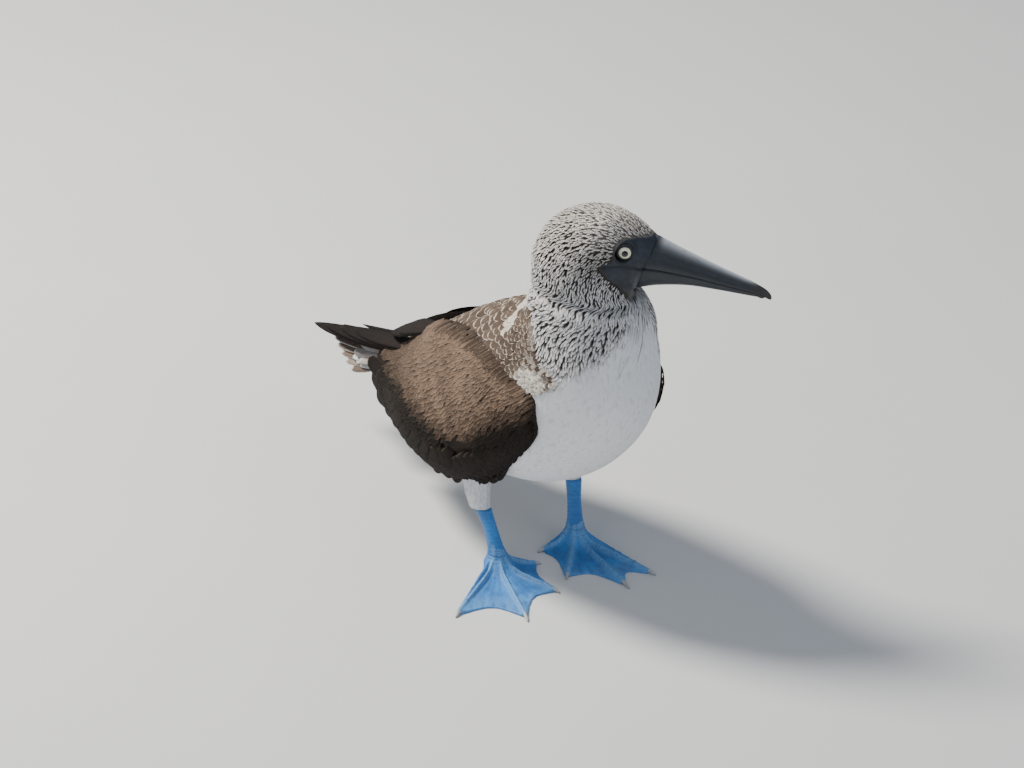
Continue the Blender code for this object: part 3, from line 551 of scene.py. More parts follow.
class Vanes:
    """Many feathers or tufts of one build, as one mesh: closed thin blades, laid over some surface."""

    def __init__(self, stations, lanes, widths):
        self.t = np.array(stations, float)
        self.w = np.linspace(-1, 1, lanes)
        self.widths = np.array(widths, float)
        under = self.w[1:-1][::-1] if lanes > 3 else np.array([])
        self.ring_w = np.concatenate([self.w, under])
        self.under = np.concatenate([np.zeros(lanes), np.ones(len(under))])
        count, rings = len(self.ring_w), len(self.t)
        body = with_triangles(grid_faces(rings, count, True))
        tip, root = rings * count, rings * count + 1
        last_ring, first_ring = np.arange(count) + (rings - 1) * count, np.arange(count)[::-1]
        self.template = np.concatenate([body, fan(last_ring, tip), fan(first_ring, root)])
        self.points, self.normals, self.uv = [], [], []
        self.attributes, self.made = {}, 0

    def lay(self, where, length, half_width, thickness, camber, rise, bake, tint, **shares):
        """Adds feathers. where(along, aside) gives the point and the normal at distances from each root.
        rise(t, w) is the height over the surface and tint(t, w) the colour, at shares t of the length and
        w of the half width. bake is each root's place on the unwrap, and shares are one value a feather
        or one for all."""
        count, ring, stations = len(length), len(self.ring_w), len(self.t)
        t = np.concatenate([np.repeat(self.t, ring), [1.0, self.t[0]]])
        lanes = (np.tile(self.ring_w, stations), np.repeat(self.widths, ring), np.tile(self.under, stations))
        w, wide, under = (np.concatenate([lane, [0, 0]]) for lane in lanes)
        t, w, wide, under = (np.broadcast_to(a, (count, len(a))) for a in (t, w, wide, under))
        half_width = np.broadcast_to(half_width, count)[:, None]
        along, aside = t * length[:, None], w * wide * half_width
        points, normals = where(along, aside)
        height = rise(t, w) - camber * np.abs(w) ** 2 * wide * half_width
        height = height - under * thickness * (1 - 0.5 * t)
        if ring == 3:
            height = height + (1 - np.abs(w)) * thickness * (1 - t**4)
        points = points + normals * height[..., None]
        uv = np.broadcast_to(bake, (count, 2))[:, None] + np.stack([w, t - 0.5], -1) * FEATHER_ON_UNWRAP
        draw = np.broadcast_to(RANDOM.random(count)[:, None], t.shape)
        self.points.append(points.reshape(-1, 3))
        self.normals.append(normals.reshape(-1, 3))
        self.uv.append(np.clip(uv, 0.001, 0.999).reshape(-1, 2))
        self.store("vane", np.stack([w, t, draw], axis=-1).reshape(-1, 3))
        self.store("vane_mm", np.stack([aside, along, draw], axis=-1).reshape(-1, 3))
        self.store("tint", np.broadcast_to(np.clip(tint(t, w), 0, 1), (*t.shape, 3)).reshape(-1, 3))
        for key, values in shares.items():
            self.store(key, np.broadcast_to(np.asarray(values, float).reshape(-1, 1), t.shape).reshape(-1))
        self.made += count

    def store(self, key, values):
        self.attributes.setdefault(key, []).append(values)

    def piece(self, name, material, slot, replaces=(), soft=0.0):
        """Makes the mesh. soft is how far its shading follows the surface below, not each blade's own form."""
        size = len(self.ring_w) * len(self.t) + 2
        faces = (self.template[None] + (np.arange(self.made) * size)[:, None, None]).reshape(-1, 3)
        attributes = {key: np.concatenate(values) for key, values in self.attributes.items()}
        points = np.concatenate(self.points)
        corners = points[faces[: len(self.template)]] - points[0]
        if np.sum(np.cross(corners[:, 0], corners[:, 1]) * corners[:, 2]) < 0:
            faces = faces[:, ::-1]
        made = new_piece(name, points, faces, material, slot, replaces, np.concatenate(self.uv), **attributes)
        if soft:
            own = np.empty(len(points) * 3, np.float32)
            made.data.vertices.foreach_get("normal", own)
            below = np.concatenate(self.normals)
            own = own.reshape(-1, 3)
            own = own * np.sign(np.sum(own * below, axis=1, keepdims=True) + 1e-6)
            made.data.normals_split_custom_set_from_vertices(unit(below * soft + own * (1 - soft)))
        return made


def over(surface, u, v, lie, spread=0.0):
    """How to lay feathers over a surface from roots at u, v along lie: the function that Vanes takes."""
    root, normal, by_u, by_v = surface.at(u, v)
    lie = unit(lie - normal * np.sum(lie * normal, axis=-1, keepdims=True))
    if spread:
        turn = RANDOM.normal(0, spread, len(u))[:, None]
        lie = lie * np.cos(turn) + np.cross(normal, lie) * np.sin(turn)
    side = np.cross(normal, lie)
    uu, uv, vv = np.sum(by_u * by_u, -1), np.sum(by_u * by_v, -1), np.sum(by_v * by_v, -1)
    room = np.maximum(uu * vv - uv * uv, 1e-6)

    def per_mm(way):
        a, b = np.sum(way * by_u, -1), np.sum(way * by_v, -1)
        return (a * vv - b * uv) / room, (b * uu - a * uv) / room

    (au, av), (su, sv) = per_mm(lie), per_mm(side)

    def where(along, aside):
        found = surface.at(u[:, None] + au[:, None] * along + su[:, None] * aside,
                           v[:, None] + av[:, None] * along + sv[:, None] * aside)
        return found[0], found[1]

    return where


def scattered(surface, spacing, keep, tries):
    """Places on a surface, spacing(points) apart, where keep(points, normals) says so: u, v and the points."""
    area = np.linalg.norm(np.cross(surface.by_u, surface.by_v), axis=-1)[:-1].ravel()
    cells = RANDOM.choice(len(area), size=tries, p=area / area.sum())
    u = cells // surface.columns + RANDOM.random(tries)
    v = cells % surface.columns + RANDOM.random(tries)
    points, normals = surface.at(u, v)[:2]
    wanted = keep(points, normals)
    u, v, points = u[wanted], v[wanted], points[wanted]
    gaps = spacing(points)
    size = gaps.max()
    taken, chosen = {}, []
    for k, (point, gap) in enumerate(zip(points.tolist(), gaps.tolist())):
        x, y, z = point
        cell = (int(x // size), int(y // size), int(z // size))
        near = (taken.get((cell[0] + dx, cell[1] + dy, cell[2] + dz), ()) for dx, dy, dz in NEIGHBOURS)
        away = ((x - ox) ** 2 + (y - oy) ** 2 + (z - oz) ** 2 for others in near for ox, oy, oz in others)
        if all(square >= gap * gap for square in away):
            taken.setdefault(cell, []).append(point)
            chosen.append(k)
    return u[chosen], v[chosen], points[chosen]


# The skin's markings, which the coat carries too

WHITE = np.array([0.70, 0.71, 0.73])
CREAM = np.array([0.66, 0.61, 0.53])
DARK = np.array([0.030, 0.024, 0.022])
BROWN = np.array([0.088, 0.064, 0.048])
WARM_BROWN = np.array([0.135, 0.090, 0.062])
SLATE = np.array([0.014, 0.020, 0.029])
GULAR = np.array([0.040, 0.050, 0.050])
MANTLE_EDGE_Y = [-107, -99, -89.5, -81, -73.5, -67, -61, -23]
MANTLE_EDGE_Z = [209, 214, 218, 224.5, 237, 249, 257, 257]


def mantle_share(points):
    """One on the brown back, zero on the neck, breast and belly."""
    x, y, z = points[..., 0], points[..., 1], points[..., 2]
    below_neck = smoothstep(np.interp(y, MANTLE_EDGE_Y, MANTLE_EDGE_Z) - z + 3 * waves(points, 3, 18), -2, 3)
    lower = np.interp(y, [-110, -95, -70, -40, 60, 120, 170, 205], [222, 208, 192, 185, 165, 135, 112, 98])
    return below_neck * smoothstep(z - lower + 2 * waves(points, 4, 14), -2, 4)


def throat_share(points):
    """One on the plain throat and breast, zero where the neck is streaked."""
    x, y, z = points[..., 0], points[..., 1], points[..., 2]
    turn = HEAD_TURN * smoothstep(z, 208, 285)
    side = x * np.cos(turn) + (y - NECK_AXIS_Y) * np.sin(turn)
    front = x * np.sin(turn) - (y - NECK_AXIS_Y) * np.cos(turn)
    angle = np.degrees(np.arctan2(np.abs(side), front))
    limit = 11 + 0.98 * np.clip(258 - z, 0, 200)
    return smoothstep(limit - angle + 5 * waves(points, 5, 16), -9, 9) * smoothstep(270 - z, 0, 14)


def white_patch(points):
    """The white patches at the foot of the hind neck, on the rump and at the shoulders."""
    x, y, z = points[..., 0], points[..., 1], points[..., 2]
    nape = np.hypot((x + 30) / 12, (y + 32) / 6)
    rump = np.hypot(x / 18, (y - 165) / 34)
    shoulder = np.hypot(np.hypot((np.abs(x) - 54) / 12, (y + 74) / 15), (z - 206) / 12)
    away = np.minimum(np.minimum(nape, rump), shoulder)
    return smoothstep(1.15 - away + 0.15 * waves(points, 6, 10), -0.1, 0.25)


def coat_colours(points):
    """The root and tip colours of the coat at points of the skin, and how strongly it is streaked."""
    forward, height, _ = head_place(points)
    throat, mantle = throat_share(points)[..., None], mantle_share(points)[..., None]
    streak = (1 - throat) * (1 - mantle) * smoothstep(points[..., 2:3], 200, 214)
    # Painted highlight: the top of the head is paler, in tips and streak roots alike, where the light falls on
    # it.
    crown_highlight = np.clip(smoothstep(height, 304, 326) * smoothstep(forward, -14, 30), 0, 1)[..., None]
    cheek = np.exp(-(((forward - 16) / 12) ** 2 + ((height - 300) / 9) ** 2))[..., None]
    tip = WHITE + (CREAM - WHITE) * (0.25 + 0.5 * smoothstep(height, 270, 320))[..., None] * streak
    tip = tip * (1 - 0.42 * cheek) * (1 + 0.22 * crown_highlight)
    low = 0.30 * smoothstep(-height, -285, -225)[..., None]
    dark = DARK + (np.array([0.26, 0.235, 0.21]) - DARK) * np.clip(0.08 + 1.1 * crown_highlight + low, 0, 1.3)
    root = tip * (1 - streak) * 0.86 + dark * streak
    patch = white_patch(points)[..., None] * mantle
    brown = BROWN * (1 + 0.25 * waves(points, 8, 25)[..., None])
    root, tip = (c * (1 - mantle) + brown * mantle for c in (root, tip))
    root, tip = (c * (1 - patch) + WHITE * patch for c in (root, tip))
    return root, tip, streak[..., 0]


def coat_depth(points):
    """How far the skin lies under the coat."""
    feathered = smoothstep(face_distance(points), -0.5, 3)
    head = smoothstep(points[..., 2], 235, 275)
    return feathered * (2.6 - 1.2 * head)


def make_skin(trunk):
    """One skin for the head, neck and torso, with the folds, lids and gape of the face."""
    points, normals = trunk.points.copy(), trunk.normals
    forward, height, side = head_place(points)
    bare = 1 - smoothstep(face_distance(points), -0.6, 0.6)
    moved = -coat_depth(points)
    eye_away = np.hypot(forward - EYE_FORWARD, height - EYE_HEIGHT)
    on_side = np.abs(side) > 10
    near_eye = bell(eye_away - 7.6, 1.5) * on_side
    socket = (1 - smoothstep(eye_away, 5.0, 6.4)) * on_side
    moved += 0.7 * near_eye - 5.5 * socket
    line = smooth_rows(MOUTH_LINE, 12)
    gape = np.full(forward.shape, 1e9)
    for line_forward, line_height in line:
        gape = np.minimum(gape, np.hypot((forward - line_forward) * 0.5, height - line_height))
    gape = np.where(forward > MOUTH_LINE[-1][0] - 2, gape, 9)
    groove = bell(gape, 0.8) * on_side * (height > 285)
    moved -= 1.0 * groove
    folds = np.sin(np.hypot(forward - 44, height - 300) * 2.4 + 1.2 * waves(points, 21, 12))
    moved += bare * 0.14 * folds * smoothstep(-height, -300, -278) + bare * 0.12 * waves(points, 22, 7)
    points += normals * moved[..., None]
    root = coat_colours(trunk.points)[0]
    gular = smoothstep(-height, -276, -270)[..., None] * smoothstep(-forward, -44, -36)[..., None]
    # The gape's groove is darkened with painted shade.
    slate = SLATE * (1 + 0.35 * waves(points, 23, 10)[..., None]) * (1 - 0.6 * groove[..., None])
    slate = slate + (GULAR - slate) * gular
    lids = bell(eye_away - 6.6, 0.9)[..., None] * on_side[..., None]
    slate = slate * (1 - 0.6 * lids)
    tint = root * 0.8 * (1 - bare[..., None]) + slate * bare[..., None]
    points, faces = closed_tube(points)
    tint = np.concatenate([tint.reshape(-1, 3), tint[[0, -1], 0]])
    bare = np.concatenate([bare.ravel(), [0, 1]])
    return new_piece("skin", points, faces, SKIN, "streaked_feather", ("head", "neck", "torso"),
                     trunk.unwrap(), tint=tint, bare=bare)


# Building starts here

SKIN = skin_material()
TUFT = feather_material("booby_small_feather", (0.62, 0.60, 0.56), 0.9, 0.85, 0.4, 0.25)
SOFT = feather_material("booby_breast_feather", (0.62, 0.60, 0.56), 0.9, 0.9, 0.1, 0.05)
SCALLOPED = feather_material("booby_mantle_feather", (0.50, 0.43, 0.35), 0.85, 0.85, 0.3, 0.3,
                             shaft_colour=(0.05, 0.035, 0.03))
FLIGHT = feather_material("booby_flight_feather", (0.09, 0.07, 0.055), 0.90, 0.85, 0.35, 0.3,
                          shaft_colour=(0.02, 0.015, 0.012))
TAIL_FEATHER = feather_material("booby_tail_feather", (0.66, 0.64, 0.60), 0.88, 0.7, 0.35, 0.3,
                                shaft_colour=(0.72, 0.70, 0.66))
# The sheen colours below are painted highlights on the bill and the claws.
HORN = horn_material("booby_bill_horn", base=(0.017, 0.022, 0.029), nail=(0.020, 0.018, 0.017),
                     painted_sheen=(0.42, 0.44, 0.48), roughness=0.42)
CLAW = horn_material("booby_claw_horn", base=(0.30, 0.32, 0.34), nail=(0.16, 0.17, 0.18),
                     painted_sheen=(0.5, 0.5, 0.5), roughness=0.4)
FOOT = foot_material()
EYE = eye_material()
TRUNK = trunk_surface()
# Where a blade's sections lie along it and how wide it is at each, as shares of its length and half width.
TUFT_STATIONS, TUFT_WIDTHS = (0, 0.3, 0.62, 0.86), (0.55, 0.95, 1.0, 0.62)
MANTLE_STATIONS, MANTLE_WIDTHS = (0, 0.25, 0.5, 0.72, 0.88, 0.97), (0.45, 0.8, 1.0, 0.94, 0.66, 0.3)
STREAKED_FROM = 0.35


def toward_tail(u, v):
    """The lie of the coat on the trunk: away from the bill, along the body."""
    return -sum(unit(TRUNK.at(u + step, v)[2]) for step in (-9, -5, 0, 5, 9))


def make_body_coat():
    """The small feathers of the head, neck, breast and belly: tufts whose tips lie over the roots behind."""
    def keep(points, normals):
        return (face_distance(points) > 0.4) & (mantle_share(points) < 0.5) & (points[:, 1] < 195)

    def spacing(points):
        streak = coat_colours(points)[2]
        head = smoothstep(points[:, 2], 250, 285)
        near_face = 1 - smoothstep(face_distance(points), 0, 14)
        return (2.7 - 0.85 * streak) * (1 - 0.28 * head) * (1 - 0.25 * near_face * head)

    u, v, points = scattered(TRUNK, spacing, keep, 110000)
    root_colour, tip_colour, streak = coat_colours(points)
    size = spacing(points)
    groups = [("coat_head_neck", "streaked_feather", TUFT, 0.35, streak > STREAKED_FROM),
              ("coat_breast_belly", "body_feather", SOFT, 0.93, streak <= STREAKED_FROM)]
    for name, slot, material, soft, chosen in groups:
        u1, v1, size1, s1 = u[chosen], v[chosen], size[chosen], streak[chosen]
        roots, tips = root_colour[chosen][:, None], tip_colour[chosen][:, None]
        draw = RANDOM.random(len(u1))
        tips = tips * (1 + (draw - 0.5) * (0.04 + 0.24 * s1))[:, None, None]
        vanes = Vanes(TUFT_STATIONS, 3, TUFT_WIDTHS)
        length = size1 * (5.0 - 1.0 * s1) * (0.85 + 0.3 * draw)
        half_width = size1 * (1.2 - 0.64 * s1) * (0.85 + 0.3 * RANDOM.random(len(u1)))
        lift = 0.12 + 1.08 * s1

        def rise(t, w):
            sunk = -0.25 - 0.85 * s1[:, None]
            ruffled = 0.25 * lift[:, None] * (RANDOM.random(t.shape) - 0.5)
            return sunk + (lift[:, None] - sunk) * t**0.8 + ruffled

        def tint(t, w):
            pale = smoothstep(t, 0.3, 0.62) * (1 - 0.55 * s1[:, None] * np.abs(w))
            return roots + (tips - roots) * pale[..., None]

        where = over(TRUNK, u1, v1, toward_tail(u1, v1), 0.16)
        thickness = (0.06 + 0.24 * s1)[:, None]
        vanes.lay(where, length, half_width, thickness, 0.12, rise, TRUNK.bake_uv(u1, v1), tint, edge=0.0)
        vanes.piece(name, material, slot, soft=soft)


def make_mantle_coat():
    """The scapulars and back feathers: brown with pale edges, small by the neck and large at the rear."""
    def keep(points, normals):
        return (mantle_share(points) >= 0.5) & (normals[:, 2] > -0.35)

    def spacing(points):
        return 2.2 + 6.6 * smoothstep(points[:, 1], -95, 45)

    u, v, points = scattered(TRUNK, spacing, keep, 90000)
    size = spacing(points)
    front = 1 - smoothstep(points[:, 1], -104, -52)
    patch = white_patch(points)
    mottle = RANDOM.random(len(u))
    pale = np.clip(0.8 * patch + 0.9 * front * (mottle < 0.6), 0, 1)[:, None]
    brown = BROWN * (0.75 + 0.5 * RANDOM.random(len(u)))[:, None]
    base = (brown * (1 - pale) + CREAM * pale)[:, None]
    lie = toward_tail(u, v) + 0.5 * np.stack([points[:, 0] / 30, 0 * size, 0 * size], -1)
    vanes = Vanes(MANTLE_STATIONS, 5, MANTLE_WIDTHS)

    def rise(t, w):
        return -0.5 + 2.2 * t**0.9 + (mottle[:, None] - 0.5) * 0.5 * t

    def tint(t, w):
        return base * (0.8 + 0.3 * t)[..., None]

    where = over(TRUNK, u, v, lie, 0.13)
    vanes.lay(where, size * 2.9, size * 1.02, 0.22, 0.10, rise, TRUNK.bake_uv(u, v), tint,
              edge=0.75 + 0.25 * RANDOM.random(len(u)), shaft=0.2)
    vanes.piece("coat_mantle", SCALLOPED, "body_feather", soft=0.5)


# The wings

WING_GRID_Y, WING_GRID_Z, WING_GRID_STEP = -96, 30, 2
WING_GRID_ENDS, WING_UNWRAP = (224, 222), (330, 200)
WING_SKIN_END_Y, WING_SKIN_SECTIONS, WING_SKIN_LANES = 202, 80, 26
WING_ROUND, WING_ROUND_POWER = 2.4, 0.75
# The secondaries' tips along the wing's lower edge: y, z, and how many degrees each feather slopes down.
SECONDARY_TIPS = [
    (209, 101, 8), (198, 78, 20), (166, 64, 34), (122, 57, 42),
    (80, 56, 46), (40, 64, 49), (4, 82, 50), (-12, 93, 50),
]
# Rows of larger feathers, from the secondaries up: how many, how far above the secondaries' tips theirs lie,
# length, half width, height over the wing, and the share of the brown that they keep.
WING_ROWS = [
    (17, 0, 62, 8.6, 0.2, 0.34), (17, 18, 44, 8.0, 0.9, 0.40), (21, 33, 36, 6.4, 1.5, 0.46),
]
PRIMARY_ROOT, PRIMARY_STEP = (27, 128, 139), (0.4, 0, 2.4)
PRIMARIES = {
    RIGHT: ((0.45, 0.2, 0.87), 0, [(13, 329, 88), (15, 306, 95.5), (16, 280, 103.5), (17, 254, 111.5)]),
    LEFT: ((0.05, 0.2, 0.97), 6, [(-6, 318, 89), (-3, 296, 96.5), (1, 270, 105.5)]),
}
TERTIAL_ROOT, TERTIAL_STEP, TERTIAL_NORMAL = (34, 96, 176), (0.5, 0, 2.2), (0.45, 0.2, 0.87)
TERTIAL_TIPS = [(15, 194, 133), (22, 170, 146)]
FLIGHT_STATIONS = (0, 0.1, 0.25, 0.42, 0.58, 0.72, 0.84, 0.92, 0.97, 0.993)
FLIGHT_WIDTHS = (0.4, 0.62, 0.85, 0.97, 1.0, 0.9, 0.7, 0.46, 0.24, 0.1)
ROUND_WIDTHS = (0.45, 0.65, 0.85, 0.95, 1.0, 0.98, 0.9, 0.74, 0.52, 0.26)
COVERT_STATIONS, COVERT_WIDTHS = (0, 0.3, 0.6, 0.85), (0.5, 0.9, 1.0, 0.6)


def wing_edges(side):
    """The wing's stations by y: upper x and z, lower x and z, and the bulge."""
    out, forward = WRIST_REACH[side]
    rows = []
    for y, upper, lower, bulge in WING_STATIONS:
        share = max(0, y / WING_STATIONS[0][0])
        shift = out * share
        rows.append((y + forward * share, upper[0] + shift, upper[1], lower[0] + shift, lower[1], bulge))
    table = smooth_rows(rows, 6)
    return lambda y: [np.interp(y, table[:, 0], table[:, k]) for k in range(1, 6)]


def wing_x(edges, y, z):
    """How far out the left wing's surface lies, going on smoothly past its edges."""
    upper_x, upper_z, lower_x, lower_z, bulge = edges(y)
    down = (upper_z - z) / (upper_z - lower_z)
    swell = np.maximum(0, 1 - np.abs(2 * down - 1) ** WING_ROUND) ** WING_ROUND_POWER
    x = upper_x + (lower_x - upper_x) * np.clip(down, 0, 1) + bulge * swell
    return x - 0.8 * np.maximum(0, z - upper_z) - 0.12 * np.maximum(0, lower_z - z)


def wing_surface(side):
    edges = wing_edges(side)
    y, z = np.meshgrid(np.arange(WING_GRID_Y, WING_GRID_ENDS[0], WING_GRID_STEP),
                       np.arange(WING_GRID_Z, WING_GRID_ENDS[1], WING_GRID_STEP), indexing="ij")
    x = wing_x(edges, y, z)
    return Surface(np.stack([side * x, y, z], axis=-1), False, (0, 60, 130)), edges


def wing_uv(y, z):
    """A place of the wing, as seen from its side, on its unwrap."""
    return np.stack([y - WING_GRID_Y, z - WING_GRID_Z], -1) / WING_UNWRAP * 0.9 + 0.05


def on_wing(wing, side, y, z, steep):
    """How to lay feathers over a wing, with lengths measured as seen from its side."""
    cosine, sine = np.cos(steep)[:, None], np.sin(steep)[:, None]

    def where(along, aside):
        aside = aside * side
        at_y, at_z = y[:, None] + cosine * along + sine * aside, z[:, None] - sine * along + cosine * aside
        found = wing.at((at_y - WING_GRID_Y) / WING_GRID_STEP, (at_z - WING_GRID_Z) / WING_GRID_STEP)
        return found[0], found[1]

    return where


def blades(roots, tips, normals, sag=0.0):
    """How to lay straight feathers from roots to tips with their flat sides along normals."""
    roots, tips, normals = (np.array(a, float) for a in (roots, tips, normals))
    length = np.linalg.norm(tips - roots, axis=1)
    along_way = unit(tips - roots)
    side_way = unit(np.cross(normals, along_way))
    out_way = np.cross(along_way, side_way)

    def where(along, aside):
        t = along / length[:, None]
        points = roots[:, None] + along_way[:, None] * along[..., None] + side_way[:, None] * aside[..., None]
        points = points - out_way[:, None] * (sag * 4 * t * (1 - t))[..., None]
        return points, np.broadcast_to(out_way[:, None], points.shape)

    return where, length


def wing_darkness_and_shade(y, z):
    """Zero on the warm upper coverts, one on the dark lower and rear part of the wing: darker feathers, with
    painted shade where it turns down.
    """
    edge = np.interp(y, [-76, -56, 1, 31, 79, 110, 150], [188, 178, 136, 134, 134, 138, 128])
    return smoothstep(edge - z + 5 * waves(np.stack([y, z], -1), 35, 16), -14, 20)


def make_wing_skin(side, edges, first_y):
    """The wing's body: an outer side sunk under the feathers, and a plain inner one."""
    name = SIDE_NAMES[side]
    downs = 0.5 - 0.5 * np.cos(np.linspace(0, math.pi, WING_SKIN_LANES))
    grid = []
    for y in np.linspace(first_y, WING_SKIN_END_Y, WING_SKIN_SECTIONS):
        _, upper_z, _, lower_z, bulge = edges(y)
        behind = smoothstep(y, -40, 0)
        bottom = lower_z + 15 * behind * min(1.0, (upper_z - lower_z) / 60)
        z = upper_z + (bottom - upper_z) * downs
        x = wing_x(edges, y, z) - 1.0 - 2.5 * behind * smoothstep(z - lower_z, 45, 25)
        inner_x = x - 1.2 - 12 * min(1.0, 0.35 + bulge / 20) * np.sin(math.pi * downs)
        same_y = np.full(WING_SKIN_LANES, y)
        outer = np.stack([x, same_y, z], -1)
        inner = np.stack([inner_x, same_y, z + 1.2 * (0.5 - downs)], -1)
        grid.append(np.concatenate([outer, inner[::-1]]))
    points, faces = closed_tube(np.array(grid) * (side, 1, 1))
    if side == LEFT:
        faces = faces[:, ::-1]
    y, z = points[:, 1], points[:, 2]
    # The tint darkens low and behind: the feathers' own darker colour and painted shade.
    dark = wing_darkness_and_shade(y, z)[:, None]
    new_piece(f"wing_skin_{name}", points, faces, TUFT, "wing_feather", (f"wing_{name}",), wing_uv(y, z),
              tint=BROWN * (0.75 - 0.5 * dark), edge=0 * y, vane=np.zeros_like(points), vane_mm=points)


def make_flight_feathers(side, wing, tips):
    """The secondaries, their tips along the wing's lower edge, and two rows of large coverts over them."""
    travelled = np.concatenate([[0], np.cumsum(np.linalg.norm(np.diff(tips[:, :2], axis=0), axis=1))])
    flight = Vanes(FLIGHT_STATIONS, 7, ROUND_WIDTHS)
    for count, set_back, length, half_width, height, light in WING_ROWS:
        shares = (np.arange(count) + (0.0 if set_back == 0 else 0.5)) / (count - (set_back == 0))
        y, z, steep = (np.interp(shares * travelled[-1], travelled, tips[:, k]) for k in range(3))
        steep = np.radians(steep + RANDOM.normal(0, 2.0, count))
        reach = set_back + length + RANDOM.normal(0, 1.2, count)
        root_y, root_z = y - reach * np.cos(steep), z + reach * np.sin(steep)
        lengths = length * (1 + RANDOM.normal(0, 0.03, count))
        # Darker low and behind: darker feathers, partly painted shade.
        dark = wing_darkness_and_shade(y, z)[:, None, None]
        shade = (BROWN * light * (0.8 + 0.4 * RANDOM.random(count))[:, None])[:, None] * (1 - 0.6 * dark)

        def rise(t, w):
            return height + 0.25 * w - 5 * np.maximum(0, 1 - t / 0.25)

        def tint(t, w):
            return shade * (1.15 - 0.5 * t)[..., None]

        flight.lay(on_wing(wing, side, root_y, root_z, steep), lengths, half_width, 0.5, 0.05, rise,
                   wing_uv(root_y, root_z), tint, edge=0.25 + 0.3 * RANDOM.random(count), shaft=0.3)
    flight.piece(f"flight_feathers_{SIDE_NAMES[side]}", FLIGHT, "wing_feather")


def make_wing_coverts(side, wing, edges, tips, first_y):
    """The wing's small feathers, warm brown above and near black below and behind, partly as painted shade."""
    def keep(found, normals):
        y, z = found[:, 1], found[:, 2]
        upper_z, lower_z = edges(y)[1], edges(y)[3]
        away = np.min(np.hypot(y[:, None] - tips[::3, 0], z[:, None] - tips[::3, 1]), axis=1)
        inside = (z < upper_z + 2) & (z > lower_z + 1) & (y > first_y - 1) & (y < 196)
        return inside & ((away > 42 + 5 * waves(found, 31, 20)) | (y < -14))

    def spacing(found):
        return 2.1 + 0.7 * smoothstep(found[:, 1], -60, 60)

    u, v, found = scattered(wing, spacing, keep, 45000)
    size, draw = spacing(found), RANDOM.random(len(u))
    y, z = found[:, 1], found[:, 2]
    steep = np.radians(np.interp(y, tips[::-1, 0], tips[::-1, 2]) + RANDOM.normal(0, 6, len(u)))
    # Darker low and behind: darker feathers, partly painted shade.
    dark = wing_darkness_and_shade(y, z)[:, None]
    warm = WARM_BROWN * (0.8 + 0.45 * draw)[:, None]
    rear = 0.55 * smoothstep(y, 60, 150)[:, None] * (1 - dark)
    warm = warm * (1 - rear) * (1 + 0.22 * waves(found, 33, 26))[:, None]
    # Painted shade in a band along the wing's upper edge, where it meets the body.
    gap = 0.7 * bell(z - edges(y)[1] - 1, 2.2) * smoothstep(y, -66, -50) * smoothstep(-y, -80, -60)
    shade = ((warm * (1 - dark) + BROWN * 0.13 * dark) * (1 - gap)[:, None])[:, None]
    small = Vanes(COVERT_STATIONS, 3, COVERT_WIDTHS)

    def rise(t, w):
        return 0.2 + 1.5 * t + (draw[:, None] - 0.5) * 0.6 * t

    def tint(t, w):
        return shade * (0.72 + 0.38 * t)[..., None]

    small.lay(on_wing(wing, side, y, z, steep), size * 5.2, size * 0.6, 0.16, 0.08, rise, wing_uv(y, z), tint,
              edge=0.25 * (1 - dark[:, 0]))
    small.piece(f"wing_coverts_{SIDE_NAMES[side]}", TUFT, "wing_feather", soft=0.6)


def make_primaries(side):
    """The primaries, which cross over the tail, and the tertials over their roots."""
    mirror = np.array([side, 1, 1])
    long = Vanes(FLIGHT_STATIONS, 7, FLIGHT_WIDTHS)
    normal, sag, ends = PRIMARIES[side]
    groups = [(PRIMARY_ROOT, PRIMARY_STEP, ends, normal, sag, 8.4),
              (TERTIAL_ROOT, TERTIAL_STEP, TERTIAL_TIPS, TERTIAL_NORMAL, -3, 11.0)]
    for root, step, ends, normal, sag, half_width in groups:
        count = len(ends)
        roots = np.array(root) + np.outer(np.arange(count), step)
        where, length = blades(roots * mirror, ends * mirror, [normal * mirror] * count, sag)

        def rise(t, w):
            return 0.15 * w

        def tint(t, w):
            return DARK * 0.3 + (BROWN * 0.12) * (1 - t)[..., None]

        long.lay(where, length, half_width, 0.5, 0.12, rise, 0.97 - 0.01 * RANDOM.random((count, 2)), tint,
                 edge=0.12, shaft=0.25)
    long.piece(f"primaries_{SIDE_NAMES[side]}", FLIGHT, "wing_feather")


def make_wing(side):
    wing, edges = wing_surface(side)
    tips = smooth_rows(SECONDARY_TIPS, 8)
    first_y = WING_STATIONS[0][0] + WRIST_REACH[side][1] + 2
    make_wing_skin(side, edges, first_y)
    make_flight_feathers(side, wing, tips)
    make_wing_coverts(side, wing, edges, tips, first_y)
    make_primaries(side)


# The tail

TAIL_PAIRS, TAIL_COVERTS = 6, 30
TAIL_TINTS = [
    (0.55, 0.52, 0.48), (0.16, 0.12, 0.10), (0.20, 0.155, 0.125), (0.15, 0.11, 0.085), (0.26, 0.21, 0.17),
    (0.12, 0.09, 0.07),
]


